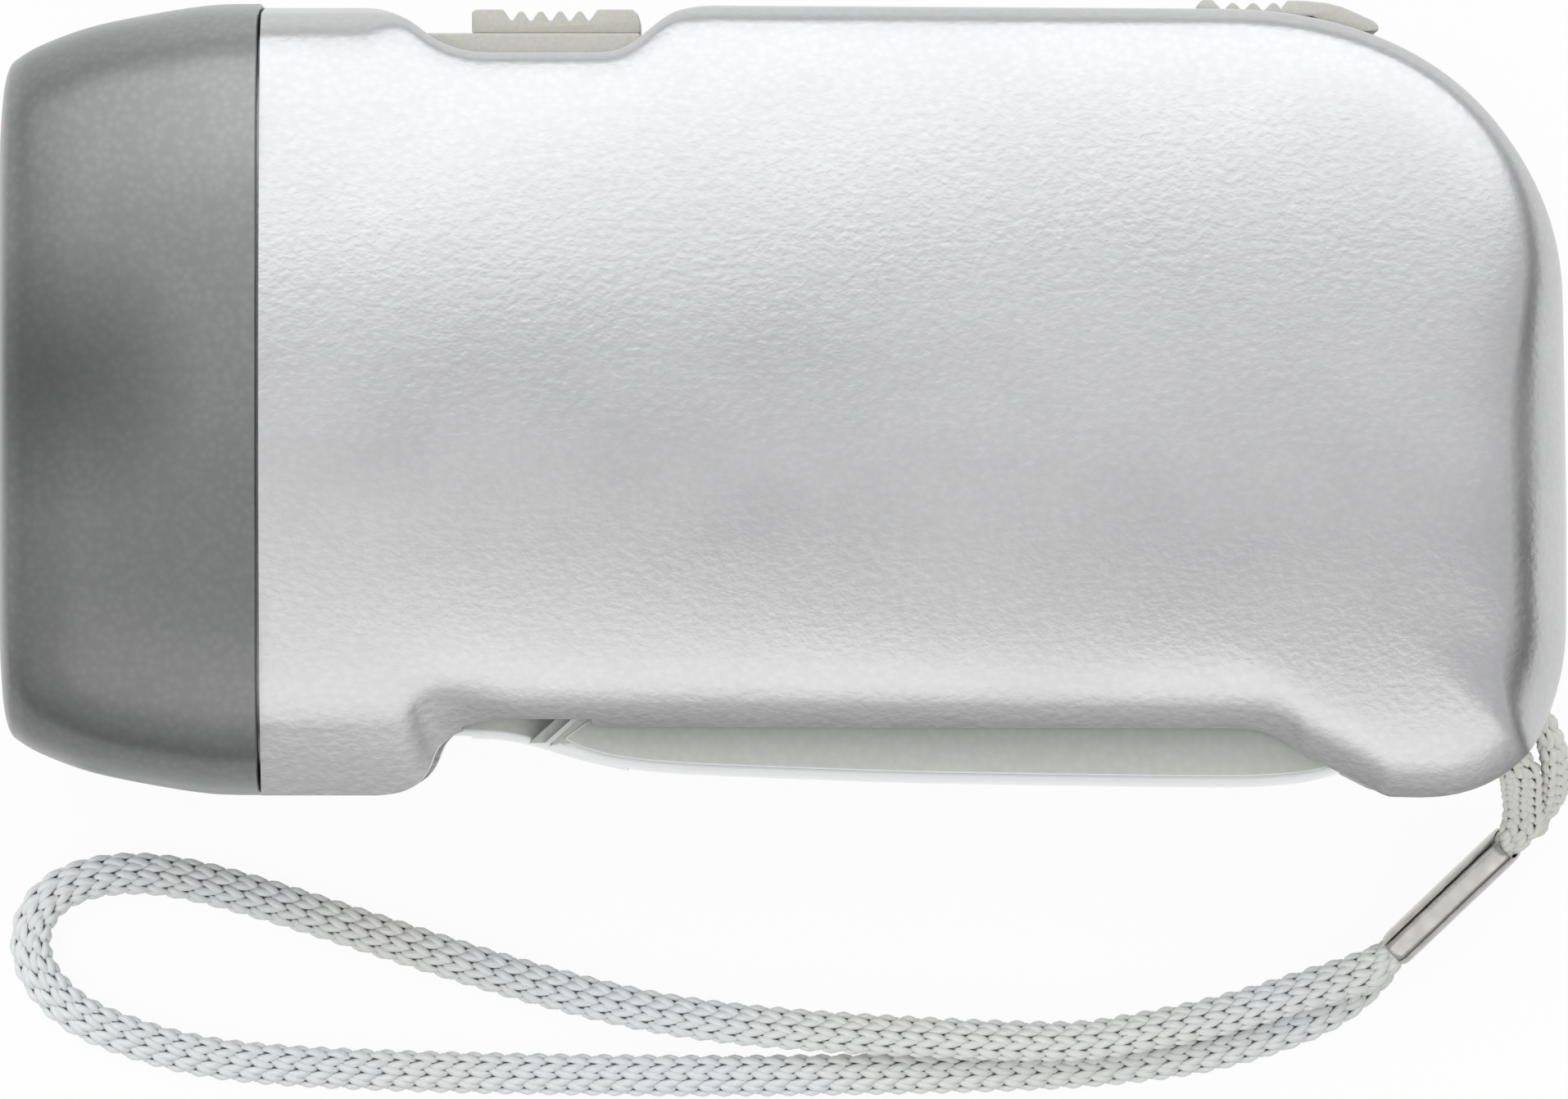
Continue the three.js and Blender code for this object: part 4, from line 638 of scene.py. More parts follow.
# The wrist strap. A point of a route is its place in millimetres and the way its flat side faces.
PIN_LOOP = [
    (50.02, -29.965, 4.5, 0.2, 0.0, 1.0),
    (51.5, -28.565, 5.05, 0.5, -0.1, 0.9),
    (52.6, -27.065, 8.5, 0.8, -0.4, 0.5),
    (52.6, -25.165, 13.0, 0.9, -0.4, 0.2),
    (51.8, -22.565, 16.9, 1.0, 0.1, 0.1),
    (50.2, -19.765, 18.4, 0.9, 0.5, 0.0),
    (47.6, -18.115, 18.5, 0.0, 1.0, 0.0),
    (45.1, -19.465, 18.5, -0.9, 0.4, 0.0),
    (45.0, -22.065, 18.4, -0.9, -0.5, 0.0),
    (46.9, -23.515, 18.2, -0.2, -1.0, 0.1),
    (48.9, -24.065, 17.9, 0.1, -1.0, 0.3),
    (50.0, -25.165, 16.3, 0.1, -0.9, 0.5),
    (50.3, -26.465, 12.6, -0.3, -0.9, 0.4),
    (50.6, -27.765, 9.4, -0.4, -0.8, 0.5),
    (50.7, -29.215, 7.35, -0.3, -0.3, 0.9),
    (49.6, -30.365, 6.85, 0.0, 0.0, 1.0),
]
WRIST_LOOP = [
    (41.78, -37.965, 4.09, 0.0, 0.0, 1.0),
    (40.7, -38.965, 3.75, 0.0, 0.3, 1.0),
    (37.4, -39.965, 3.65, 0.0, 0.5, 1.0),
    (30.9, -41.965, 3.6, 0.1, 0.6, 1.0),
    (24.8, -43.265, 3.6, 0.0, 0.6, 1.0),
    (17.8, -43.965, 3.6, 0.0, 0.6, 1.0),
    (-3.1, -42.765, 3.3, 0.0, 0.4, 1.0),
    (-16.8, -40.065, 2.1, 0.0, 0.4, 1.0),
    (-37.6, -33.665, 1.15, 0.0, 0.3, 1.0),
    (-45.3, -32.465, 1.15, 0.0, 0.3, 1.0),
    (-50.3, -33.965, 1.15, -0.3, 0.1, 1.0),
    (-51.8, -37.365, 1.15, -0.4, 0.0, 1.0),
    (-50.2, -40.665, 1.15, -0.3, -0.2, 1.0),
    (-46.1, -43.265, 1.15, -0.2, -0.3, 1.0),
    (-35.7, -45.565, 1.15, 0.0, -0.4, 1.0),
    (-9.7, -46.365, 1.15, 0.0, -0.4, 1.0),
    (14.9, -46.065, 1.15, 0.0, -0.4, 1.0),
    (26.7, -45.165, 1.15, 0.0, -0.4, 1.0),
    (33.8, -43.465, 1.15, 0.0, -0.3, 1.0),
    (38.6, -41.265, 1.15, 0.0, -0.2, 1.0),
    (41.1, -38.615, 1.4, 0.0, 0.0, 1.0),
    (42.2, -37.565, 1.77, 0.0, 0.0, 1.0),
]
# The ferrule's ends, at the small loop and at the wrist loop.
FERRULE_TOP = np.array((49.6, -30.365, 5.6)) * MM
FERRULE_FOOT = np.array((42.2, -37.565, 3.0)) * MM
# Spacing of the cord's points, reach of the average that softens its way, and its half width and half depth
# inside the ferrule.
CORD_STEP, CORD_SOFTNESS, LEAST_HALVES = 0.36 * MM, 1.3 * MM, (0.98 * MM, 0.92 * MM)
# Half width and half depth of a spindle of yarn, the rise of its middle and the depth of its ends.
YARN_WIDTH, YARN_DEPTH, YARN_RISE, YARN_SINK = 0.33 * MM, 0.25 * MM, 0.42 * MM, 0.3 * MM
# A stitch's pitch, then in pitches the length of a spindle and the shift of a V's two rows.
STITCH_PITCH, SPINDLE_PITCHES, HAND_SHIFT = 1.5 * MM, 1.35, 0.12
SPINDLE_RINGS, SPINDLE_SIDES = 7, 6
CORE_SIDES, CORE_GAP = 10, 0.2 * MM


def cord_line():
    """The cord's closed way, softened by a running average: from inside the ferrule round the pin, through
    the ferrule, round the wrist loop and back into the ferrule."""
    low = np.array(WRIST_LOOP[-1][:3]) * 0.5 + np.array(PIN_LOOP[0][:3]) * 0.5
    start = [(*low, 0.0, 0.0, 1.0)]
    route = np.array(start + PIN_LOOP + WRIST_LOOP + start, float)
    route[:, :3] *= MM
    line = evenly(smooth_through(route, 24), CORD_STEP)
    pad = int(4 * CORD_SOFTNESS / CORD_STEP)
    closed = np.concatenate([line[-pad - 1:-1], line, line[1:pad + 1]])
    return evenly(averaged(closed, CORD_STEP, CORD_SOFTNESS, pad), CORD_STEP)


def squeezed(line):
    """How full the cord is: 0 inside the ferrule, and 1 from a few millimetres outside it."""
    middle = (FERRULE_TOP + FERRULE_FOOT) / 2
    axis = FERRULE_TOP - FERRULE_FOOT
    along = np.abs((line[:, :3] - middle) @ unit(axis))
    away = np.linalg.norm(line[:, :3] - middle, axis=1)
    return eased((np.maximum(along, away * 0.9) - np.linalg.norm(axis) / 2 + 0.4 * MM) / (3.0 * MM))


def cord_axes(line):
    """Unit vectors across the cord's flat and out of it."""
    along = unit(np.gradient(line[:, :3], axis=0))
    out = line[:, 3:]
    out = unit(out - along * np.sum(out * along, 1, keepdims=True))
    return np.cross(along, out), out


def oval_angle(share):
    """The angle at a share of the way round an oval of half width 1.3 and half depth 0.62."""
    dense = np.linspace(0, 2 * math.pi, 721)
    oval = np.stack([1.3 * np.cos(dense), 0.62 * np.sin(dense)], 1)
    run = np.concatenate([[0], np.cumsum(np.linalg.norm(np.diff(oval, axis=0), axis=1))])
    return np.interp(share * run[-1], run, dense)


def spindle_points(line, across, out, half_width, half_depth, ribs):
    """Plump spindles in rows round an oval that is carried along the cord. Spindle t runs from the outside
    of its V to the middle, rises over its neighbours as sin(pi t^1.1)^0.8, and is sin(pi t)^0.7 wide. The
    rows of one V lean towards each other, and every second V is half a stitch behind."""
    length = (len(line) - 1) * CORD_STEP
    stitches = int(round(length / STITCH_PITCH))
    rib, hand, stitch, t = np.meshgrid(np.arange(ribs), (-1, 1), np.arange(stitches),
                                       np.linspace(0, 1, SPINDLE_RINGS), indexing="ij")
    place = ((stitch + 0.5 * (rib % 2) + HAND_SHIFT * hand) * length / stitches
             + (t - 0.5) * SPINDLE_PITCHES * STITCH_PITCH)
    row = np.clip(place / CORD_STEP, 0, len(line) - 1.001)
    low = row.astype(int)
    part = (row - low)[..., None]

    def at(values):
        return values[low] * (1 - part) + values[low + 1] * part

    angle = oval_angle((rib + 0.5 + hand * (0.53 - 0.49 * t)) / ribs % 1.0)
    cosine, sine = np.cos(angle)[..., None], np.sin(angle)[..., None]
    width, depth = at(half_width[:, None]), at(half_depth[:, None])
    normal = unit(cosine * depth * at(across) + sine * width * at(out))
    lift = YARN_RISE * np.sin(math.pi * t ** 1.1) ** 0.8 - YARN_SINK
    spot = (at(line[:, :3]) + cosine * width * at(across) + sine * depth * at(out)
            + normal * lift[..., None])
    ahead = unit(np.gradient(spot, axis=3))
    side = unit(np.cross(ahead, normal))
    normal = np.cross(side, ahead)
    girth = np.maximum(np.sin(math.pi * (0.02 + 0.96 * t)), 0)[..., None, None] ** 0.7
    corner = (round_angles(SPINDLE_SIDES) + math.pi / 2)[:, None]
    return (spot[..., None, :] + side[..., None, :] * np.cos(corner) * YARN_WIDTH * girth
            + normal[..., None, :] * np.sin(corner) * YARN_DEPTH * girth).reshape(-1, 3)


def core_points(line, across, out, half_width, half_depth):
    """An oval carried along the cord, a little inside the one that the spindles lie on."""
    turn = round_angles(CORE_SIDES)
    aside = (half_width - CORE_GAP)[:, None] * np.cos(turn)
    above = (half_depth - CORE_GAP)[:, None] * np.sin(turn)
    return (line[:, None, :3] + aside[..., None] * across[:, None]
            + above[..., None] * out[:, None]).reshape(-1, 3)


def knitted_cord(line, width, depth, columns):
    """Spindles of yarn over an oval core that closes the gaps. The core's faces are marked for a painted
    shade between the spindles, and a map gives each point of a spindle its place along and round it."""
    margin = YARN_DEPTH + YARN_RISE - YARN_SINK
    halves = [least + (full / 2 - least) * squeezed(line) - margin
              for least, full in zip(LEAST_HALVES, (width, depth))]
    spindles = spindle_points(line, *cord_axes(line), *halves, columns // 2)
    core = core_points(line, *cord_axes(line), *halves)
    per_spindle = SPINDLE_RINGS * SPINDLE_SIDES
    first = np.arange(0, len(spindles), per_spindle)[:, None]
    quads = (grid_faces(SPINDLE_RINGS, SPINDLE_SIDES)[None] + first[..., None]).reshape(-1, 4)
    ring = np.arange(SPINDLE_SIDES)[None]
    ends = np.concatenate([first + ring[:, ::-1], first + per_spindle - SPINDLE_SIDES + ring])
    start, end = len(spindles), len(spindles) + len(core)
    core_faces = (grid_faces(len(line), CORE_SIDES) + start).tolist()
    core_faces += [list(range(start, start + CORE_SIDES))[::-1], list(range(end - CORE_SIDES, end))]
    obj = face_out(make_mesh("strap_cord", np.concatenate([spindles, core]),
                             quads.tolist() + ends.tolist() + core_faces))
    mesh = obj.data
    # Marks the core's faces, which the yarn material paints in shade.
    inner = np.arange(len(mesh.polygons)) >= len(quads) + len(ends)
    mesh.attributes.new("Inner", "FLOAT", "FACE").data.foreach_set("value", inner.astype(np.float32))
    index = np.empty(len(mesh.loops), np.int32)
    mesh.loops.foreach_get("vertex_index", index)
    spindle, spot = index // per_spindle, index % per_spindle
    uv = np.stack([(spot // SPINDLE_SIDES) / SPINDLE_RINGS + spindle * 7.3 % 97,
                   (index % SPINDLE_SIDES) / SPINDLE_SIDES], 1)
    mesh.uv_layers.new(name="Strand").data.foreach_set("uv", uv.astype(np.float32).ravel())
    return obj


def ferrule():
    """Sheet metal folded round both runs: a superellipse with a slit seam, carried along the ferrule's
    axis, its ends turned in a little."""
    length = np.linalg.norm(FERRULE_TOP - FERRULE_FOOT)
    axis = unit(FERRULE_TOP - FERRULE_FOOT)
    across = unit(np.cross((0, 0, 1), axis))
    rise = np.cross(axis, across)
    slit, start = math.radians(5), math.radians(62)
    cosine, sine = superellipse(np.linspace(start + slit, start + 2 * math.pi - slit, 64), 3.2)
    half_width, half_depth, sheet = 1.25 * MM, 2.42 * MM, 0.16 * MM

    def oval(grow):
        return np.stack([(half_width + grow) * cosine, (half_depth + grow) * sine], 1)

    section = np.concatenate([oval(0), oval(-sheet)[::-1]])
    share = np.array([0, 0.012, 0.05, 0.3, 0.5, 0.7, 0.95, 0.988, 1.0])
    swell = np.array([0.965, 0.985, 1, 1, 1, 1, 1, 0.985, 0.965])
    centre = FERRULE_FOOT + (share[:, None] * length) * axis
    return loft("ferrule", centre[:, None, :]
                + (swell[:, None, None] * section[None, :, 0, None]) * across
                + (swell[:, None, None] * section[None, :, 1, None]) * rise)


class TORCH_OT_strap(Operator):
    """Braided wrist cord with its folded ferrule"""
    bl_idname = "torch.strap"
    bl_label = "Wrist strap"

    def execute(self, context):
        size = sizes()
        line = cord_line()
        cord = knitted_cord(line, size.cord_width, size.cord_depth, size.cord_columns)
        clip = ferrule()
        metal = grained_material("Ferrule steel", (0.44, 0.43, 0.41), 0.22, metallic=1.0, scale=900,
                                 blotch=500, bump=0.25, depth=0.03, contrast=0.1)
        dress(clip, metal, "housing", ("strap_ferrule",))
        dress(cord, yarn_material(), "housing", ("strap_small_loop", "strap_wrist_loop"), sharp=180)
        return {"FINISHED"}


# The body's outline from the seam along the top, round the rear and back along the lever's recess, as
# shares of the body's length and of its half height.
BODY_OUTLINE = [
    (0, 0.996), (0.081, 0.996),
    (0.0995, 0.994, 0.113, 0.962, 0.1236, 0.936),
    (0.134, 0.906, 0.15, 0.872, 0.177, 0.872),
    (0.2574, 0.872),
    (0.28, 0.872, 0.286, 0.8985, 0.2975, 0.9286),
    (0.31, 0.962, 0.319, 1, 0.3467, 1),
    (0.748, 0.991),
    (0.835, 0.981, 0.906, 0.88, 0.95, 0.69),
    (0.98, 0.56, 0.9977, 0.42, 0.9977, 0.2444),
    (1, -0.3008), (1, -0.5827),
    (0.9989, -0.797, 0.9645, -1, 0.8867, -1),
    (0.8604, -0.998), (0.7952, -0.89),
    (0.7792, -0.846, 0.7677, -0.831, 0.7449, -0.8270),
    (0.19, -0.8230),
    (0.1545, -0.821, 0.1373, -0.85, 0.1327, -0.9135),
    (0.1259, -0.966, 0.1178, -0.9925, 0.0904, -0.996),
    (0, -0.996),
]
SECTION_POWER = 5.0
# A shallow step in the recess's edge, over the lever's arm.
FRONT_STEP = [(0.156, -0.95), (0.255, -0.95), (0.255, -0.803), (0.18, -0.803), (0.168, -0.811),
              (0.156, -0.824)]
# The shell's section: a drawn-in side, a round corner from a steep tilt to a flat one, then a shoulder
# A e^(-q/a) below a flat, with the distance q from the corner.
# Draw of the side, radius of the corner, and its steepest and flattest tilt, for each part of the outline.
UPPER_EDGE = (0.45 * MM, 1.9 * MM, 83, 27)
RECESS_EDGE = (0.15 * MM, 1.3 * MM, 83, 27)
SHOULDER_EDGE = (0.75 * MM, 3.0 * MM, 83, 27)
REAR_EDGE = (0.1 * MM, 7.2 * MM, 83, 27)
LOWER_EDGE = (0.02 * MM, 10.2 * MM, 31, 21)
FOOT_EDGE = (0.02 * MM, 64.0 * MM, 21, 17)
# How much of the way to the spine a section covers.
SPINE_SHARE = 0.985
CORNER_TOP = 15.9 * MM
SHOULDER_RISE, SHOULDER_FADE = 0.6 * MM, 1.6 * MM
# The averages that soften the outline further in: the reach of each, the distance in where it starts and the
# width over which it takes hold. Then the reach of the average that gives the outline's way.
SOFTENING = ((1.5 * MM, 0.3 * MM, 8.5 * MM), (9.0 * MM, 2.5 * MM, 11 * MM))
WAY_SOFTENING = 3.2 * MM
# How far in the section stays square to the outline.
INSET_REACH = 3.0 * MM
# How far a cutting tool reaches past the piece that it cuts.
PAST = 6 * MM
# Starts of the lever's slot under its arm and under its grip, and half its width under the arm.
ARM_SLOT_START, GRIP_SLOT_START, ARM_SLOT_HALF = -24.6 * MM, -16.9 * MM, 9.5 * MM
SLOT_DEPTH, SLOT_PAST_GRIP = 7.4 * MM, 2.1 * MM
# The front of the lock slider and its length, then where its groove gets deeper and its two depths.
LOCK_START, LOCK_LENGTH = 28.0 * MM, 12.15 * MM
GROOVE_STEP, GROOVE_FRONT_DEPTH, GROOVE_REAR_DEPTH = 34.0 * MM, 1.1 * MM, 2.9 * MM
STRAP_ROOM_RADIUS, STRAP_ROOM_HALF = 4.4 * MM, 3 * MM


def shell_section(edge, starts, corner_steps, inner_steps):
    """Pairs of distance in from the outline and height over the parting plane. The side draws in with the
    power 1.6 of its height, and the points of the flat lie closer together near the corner."""
    draw, radius, steepest, flattest = edge
    first, last = math.radians(steepest), math.radians(flattest)
    side_top = CORNER_TOP - radius * (math.cos(last) - math.cos(first))
    z = np.concatenate([starts, np.linspace(starts[-1], side_top, 7)[1:]])
    side = np.stack([draw * np.clip(z / side_top, 0, 1) ** 1.6, z], 1)
    tilt = np.linspace(first, last, corner_steps + 1)[1:]
    corner = np.stack([draw + radius * (math.sin(first) - np.sin(tilt)),
                       side_top + radius * (np.cos(tilt) - math.cos(first))], 1)
    reach = sizes().half_height - corner[-1, 0]
    q = reach * np.linspace(0, 1, inner_steps + 1)[1:] ** 1.7 * SPINE_SHARE
    inner = np.stack([corner[-1, 0] + q, CORNER_TOP + SHOULDER_RISE * (1 - np.exp(-q / SHOULDER_FADE))], 1)
    return np.concatenate([side, corner, inner])


def domed(x, y):
    """How much higher than its section the crowned shell is at a place: T - B g over T - B, where g is
    |y|^2.15 of the half height, more at the hood, and grows a little towards the rear with x^10."""
    size = sizes()
    flat = CORNER_TOP + SHOULDER_RISE
    front = eased(1 - x / (0.7 * size.body_length))
    across = np.clip(np.abs(y) / size.half_height, 0, 1) ** 2.15 * (1.08 + 0.65 * front)
    along = np.clip((x - 0.3 * size.body_length) / (0.7 * size.body_length), 0, 1) ** 10
    fall = 1 - (1 - across) * (1 - 0.08 * along)
    return (size.half_thickness - (size.half_thickness - flat) * fall) / flat


def softened(outline, spacing, reach):
    """An open outline's running average, with its ends carried on as their own mirror images."""
    pad = int(3 * reach / spacing)
    longer = np.concatenate([2 * outline[:1] - outline[pad:0:-1], outline,
                             2 * outline[-1:] - outline[-2:-pad - 2:-1]])
    return averaged(longer, spacing, reach, pad)


def edge_shares(x, y, away):
    """How much of each kind of edge the outline has at a place, which adds up to 1, and the rear's share.
    Places are shares of the length and of the half height, and away is the outline's way to the rear."""
    back = eased((away - 0.72) / 0.26) * eased((x - 0.88) / 0.05)
    low = eased((-0.55 - y) / 0.2) * (1 - back)
    rear = back * eased((0.8 - y) / 0.9)
    foot = low * eased((0.2 - x) / 0.1)
    shoulder = (1 - rear - low) * eased((0.12 - x) / 0.04)
    recess = (1 - rear - low - shoulder) * eased((0.34 - x) / 0.04)
    return rear, ((1 - rear - low - shoulder - recess, UPPER_EDGE), (shoulder, SHOULDER_EDGE),
                  (recess, RECESS_EDGE), (rear, REAR_EDGE), (low - foot, LOWER_EDGE), (foot, FOOT_EDGE))


def body_rings(side, inset, starts, front=0.0, spacing=0.5 * MM, corner_steps=12, inner_steps=16):
    """Point (u, v): the outline at u, softened and drawn in by the section's distance d at v: by
    D (1 - e^(-d/D)) square to the outline, less at the rear, and by the rest of d towards the spine.
    Further in, the outline is softened more. Side is 1 or -1."""
    size = sizes()
    half, length = size.half_height, size.body_length
    outline = evenly(curved_outline(BODY_OUTLINE, 16) * np.array([length, half]), spacing)
    along = unit(np.gradient(softened(outline, spacing, WAY_SOFTENING), axis=0))
    inward = np.stack([along[:, 1], -along[:, 0]], 1)
    rear, edges = edge_shares(outline[:, 0] / length, outline[:, 1] / half, -along[:, 1])
    starts = np.asarray(starts, float)
    section = sum(share[None, :, None] * shell_section(edge, starts, corner_steps, inner_steps)[:, None]
                  for share, edge in edges)
    d, z = section[..., 0] + inset, section[..., 1] - inset
    keep = d.max(axis=1) < half * SPINE_SHARE
    d, z = d[keep], z[keep]
    flat = outline[None]
    for reach, start, spread in SOFTENING:
        share = eased((d - start) / spread)[..., None]
        flat = flat * (1 - share) + softened(outline, spacing, reach)[None] * share
    straight = (1 - rear) * INSET_REACH * (1 - np.exp(-d / INSET_REACH))
    rest = d - straight
    x = flat[..., 0] * (1 - rest / length) + inward[:, 0] * straight
    y = flat[..., 1] * (1 - rest / half) + inward[:, 1] * straight
    flat = np.stack([x, y, z * domed(x, y)], 2)
    if front:
        ends = flat[:, [0, -1]].copy()
        ends[..., 0] = -front
        flat = np.concatenate([ends[:, :1], flat, ends[:, 1:]], 1)
    return np.stack([SEAM_X + flat[..., 0], AXIS_Y + flat[..., 1], MID_Z + side * flat[..., 2]], 2)


def shell_cutters():
    """Room for the switch plate, the lever, the lock, the strap's pin and its cord."""
    size = sizes()
    gap, step_back = 0.3 * MM, 1 * MM
    plate_low, plate_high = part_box("switch_plate")
    lever_low, lever_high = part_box("squeeze_lever")
    lock_low, lock_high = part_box("lock_slider")
    bottom, top = SHELL_LOW.y, SHELL_HIGH.y
    slot_top = bottom + SLOT_DEPTH
    pin = centre_of("strap_pin")
    step = np.array((SEAM_X, AXIS_Y)) + np.array(FRONT_STEP) * (size.body_length, size.half_height)
    return [
        block("cut", (plate_low.x - gap, plate_low.y - gap - PAST, plate_low.z - gap),
              (plate_high.x + gap, top + PAST, plate_high.z + gap)),
        block("cut", (GRIP_SLOT_START - gap, bottom - PAST, lever_low.z - gap),
              (lever_high.x + SLOT_PAST_GRIP, slot_top, lever_high.z + gap)),
        block("cut", (ARM_SLOT_START, bottom - PAST, MID_Z - ARM_SLOT_HALF),
              (GRIP_SLOT_START, slot_top + 0.01 * MM, MID_Z + ARM_SLOT_HALF)),
        block("cut", (LOCK_START - gap, top - GROOVE_FRONT_DEPTH, lock_low.z - gap),
              (GROOVE_STEP, top + PAST, lock_high.z + gap)),
        block("cut", (GROOVE_STEP - step_back, top - GROOVE_REAR_DEPTH, lock_low.z - gap),
              (REAR_X + PAST, top + PAST, lock_high.z + gap)),
        upright("cut", STRAP_ROOM_RADIUS, pin.x, pin.y, MID_Z - STRAP_ROOM_HALF, MID_Z + STRAP_ROOM_HALF),
        block("cut", (SEAM_X - PAST, bottom - PAST, -PAST),
              (SEAM_X + 0.22 * MM, top + PAST, 2 * MID_Z + PAST)),
        extruded("cut", step, -PAST, 2 * MID_Z + PAST),
    ]


class TORCH_OT_shells(Operator):
    """Two silver half shells and the neck that carries the hood"""
    bl_idname = "torch.shells"
    bl_label = "Body shells"

    def execute(self, context):
        size = sizes()
        paint = silver_material()
        for name, side in (("shell_near", 1), ("shell_far", -1)):
            shell = loft(f"{name}_skin", body_rings(side, 0.0, [size.parting]))
            hollow = loft("hollow", body_rings(side, size.wall, [-PAST], PAST, 1.2 * MM, 5, 5))
            cut_by(shell, hollow, *shell_cutters())
            if side < 0:
                cut_by(shell, *self.screw_holes())
            dress(shell, paint, "housing", (name,))
        dress(self.neck(), paint, "housing")
        return {"FINISHED"}

    def screw_holes(self):
        """Round holes from under the far shell up to just over each screw's head."""
        holes = []
        for k in range(1, 5):
            low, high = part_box(f"case_screw_{k}")
            centre = (low + high) / 2
            radius = (high.x - low.x) / 2 + 0.3 * MM
            holes.append(upright("hole", radius, centre.x, centre.y, -PAST, low.z + 2 * MM))
        return holes

    def neck(self):
        """A superellipse ring, carried back and forth along X to close on itself."""
        size = sizes()
        outer, inner = 1.95 * MM, 1.95 * MM + 1.5 * MM
        back, front = SEAM_X + 1.4 * MM, SEAM_X - 3 * MM
        stations = [(x, size.half_height - inset, size.half_thickness * 0.994 - inset)
                    for x, inset in ((front, outer), (back, outer), (back, inner), (front, inner))]
        return loft("neck_ring", section_rings(stations, 120), closed_rows=True)


# The hood from the seam to its face: distance from the seam as a share of its depth, then half height and
# half width as shares of the body's.
HOOD_STATIONS = [
    (0, 1, 0.994), (0.2, 0.996, 0.988), (0.45, 0.971, 0.965), (0.67, 0.94, 0.93), (0.85, 0.897, 0.875),
    (0.935, 0.866, 0.835), (0.968, 0.846, 0.81), (0.988, 0.804, 0.755), (1, 0.737, 0.67),
]


def section_rings(stations, sides=144):
    """Rings of x, half height and half width, each the superellipse |y/h|^5 + |z/w|^5 = 1."""
    stations = np.asarray(stations, float)
    up, out = superellipse(round_angles(sides), SECTION_POWER)
    rings = np.empty((len(stations), sides, 3))
    rings[..., 0] = stations[:, 0, None]
    rings[..., 1] = AXIS_Y + stations[:, 1, None] * up
    rings[..., 2] = MID_Z + stations[:, 2, None] * out
    return rings


def section_plate(name, x, low, high):
    """A plate of the hood's section, from x to the rear of a box and as high and wide as the box."""
    half_height, half_width = (high.y - low.y) / 2, (high.z - low.z) / 2
    return loft(name, section_rings([(x, half_height, half_width), (high.x, half_height, half_width)]))


def turned_at_lamps(name, profile):
    """The same turned shape at the height of each lamp."""
    return [turned_along_x(name, profile, centre_of(lamp).y, MID_Z, 72) for lamp in LAMP_NAMES]


class TORCH_OT_hood(Operator):
    """Smoked hood with its two round windows"""
    bl_idname = "torch.hood"
    bl_label = "Hood"

    def execute(self, context):
        size = sizes()
        wall, window = 1.6 * MM, 7.2 * MM
        table = smooth_through(HOOD_STATIONS, 6)
        rear = SEAM_X + 0.02 * MM
        outer = np.stack([rear - table[:, 0] * (rear - HOOD_LOW.x), table[:, 1] * size.half_height,
                          table[:, 2] * size.half_thickness], 1)
        lip = np.array([[rear, outer[0, 1] - 0.12 * MM, outer[0, 2] - 0.12 * MM]])
        outer[0, 0] -= 0.08 * MM
        outer = np.concatenate([lip, outer])
        hood = loft("hood", section_rings(outer))
        inner = outer[outer[:, 0] > HOOD_LOW.x + wall][1:] - np.array([0, wall, wall])
        inner = np.concatenate([[[SEAM_X + PAST, *inner[0, 1:]]], inner,
                                [[HOOD_LOW.x + wall, inner[-1, 1] - wall / 2, inner[-1, 2] - wall / 2]]])
        x0, x1 = HOOD_LOW.x - PAST, HOOD_LOW.x + wall + PAST
        cut_by(hood, loft("hollow", section_rings(inner, 96)),
               *turned_at_lamps("window", [(CLOSED, x0), (window, x0), (window, x1), (CLOSED, x1)]))
        dress(hood, smoked_material(), "housing", ("head_shell",))
        return {"FINISHED"}


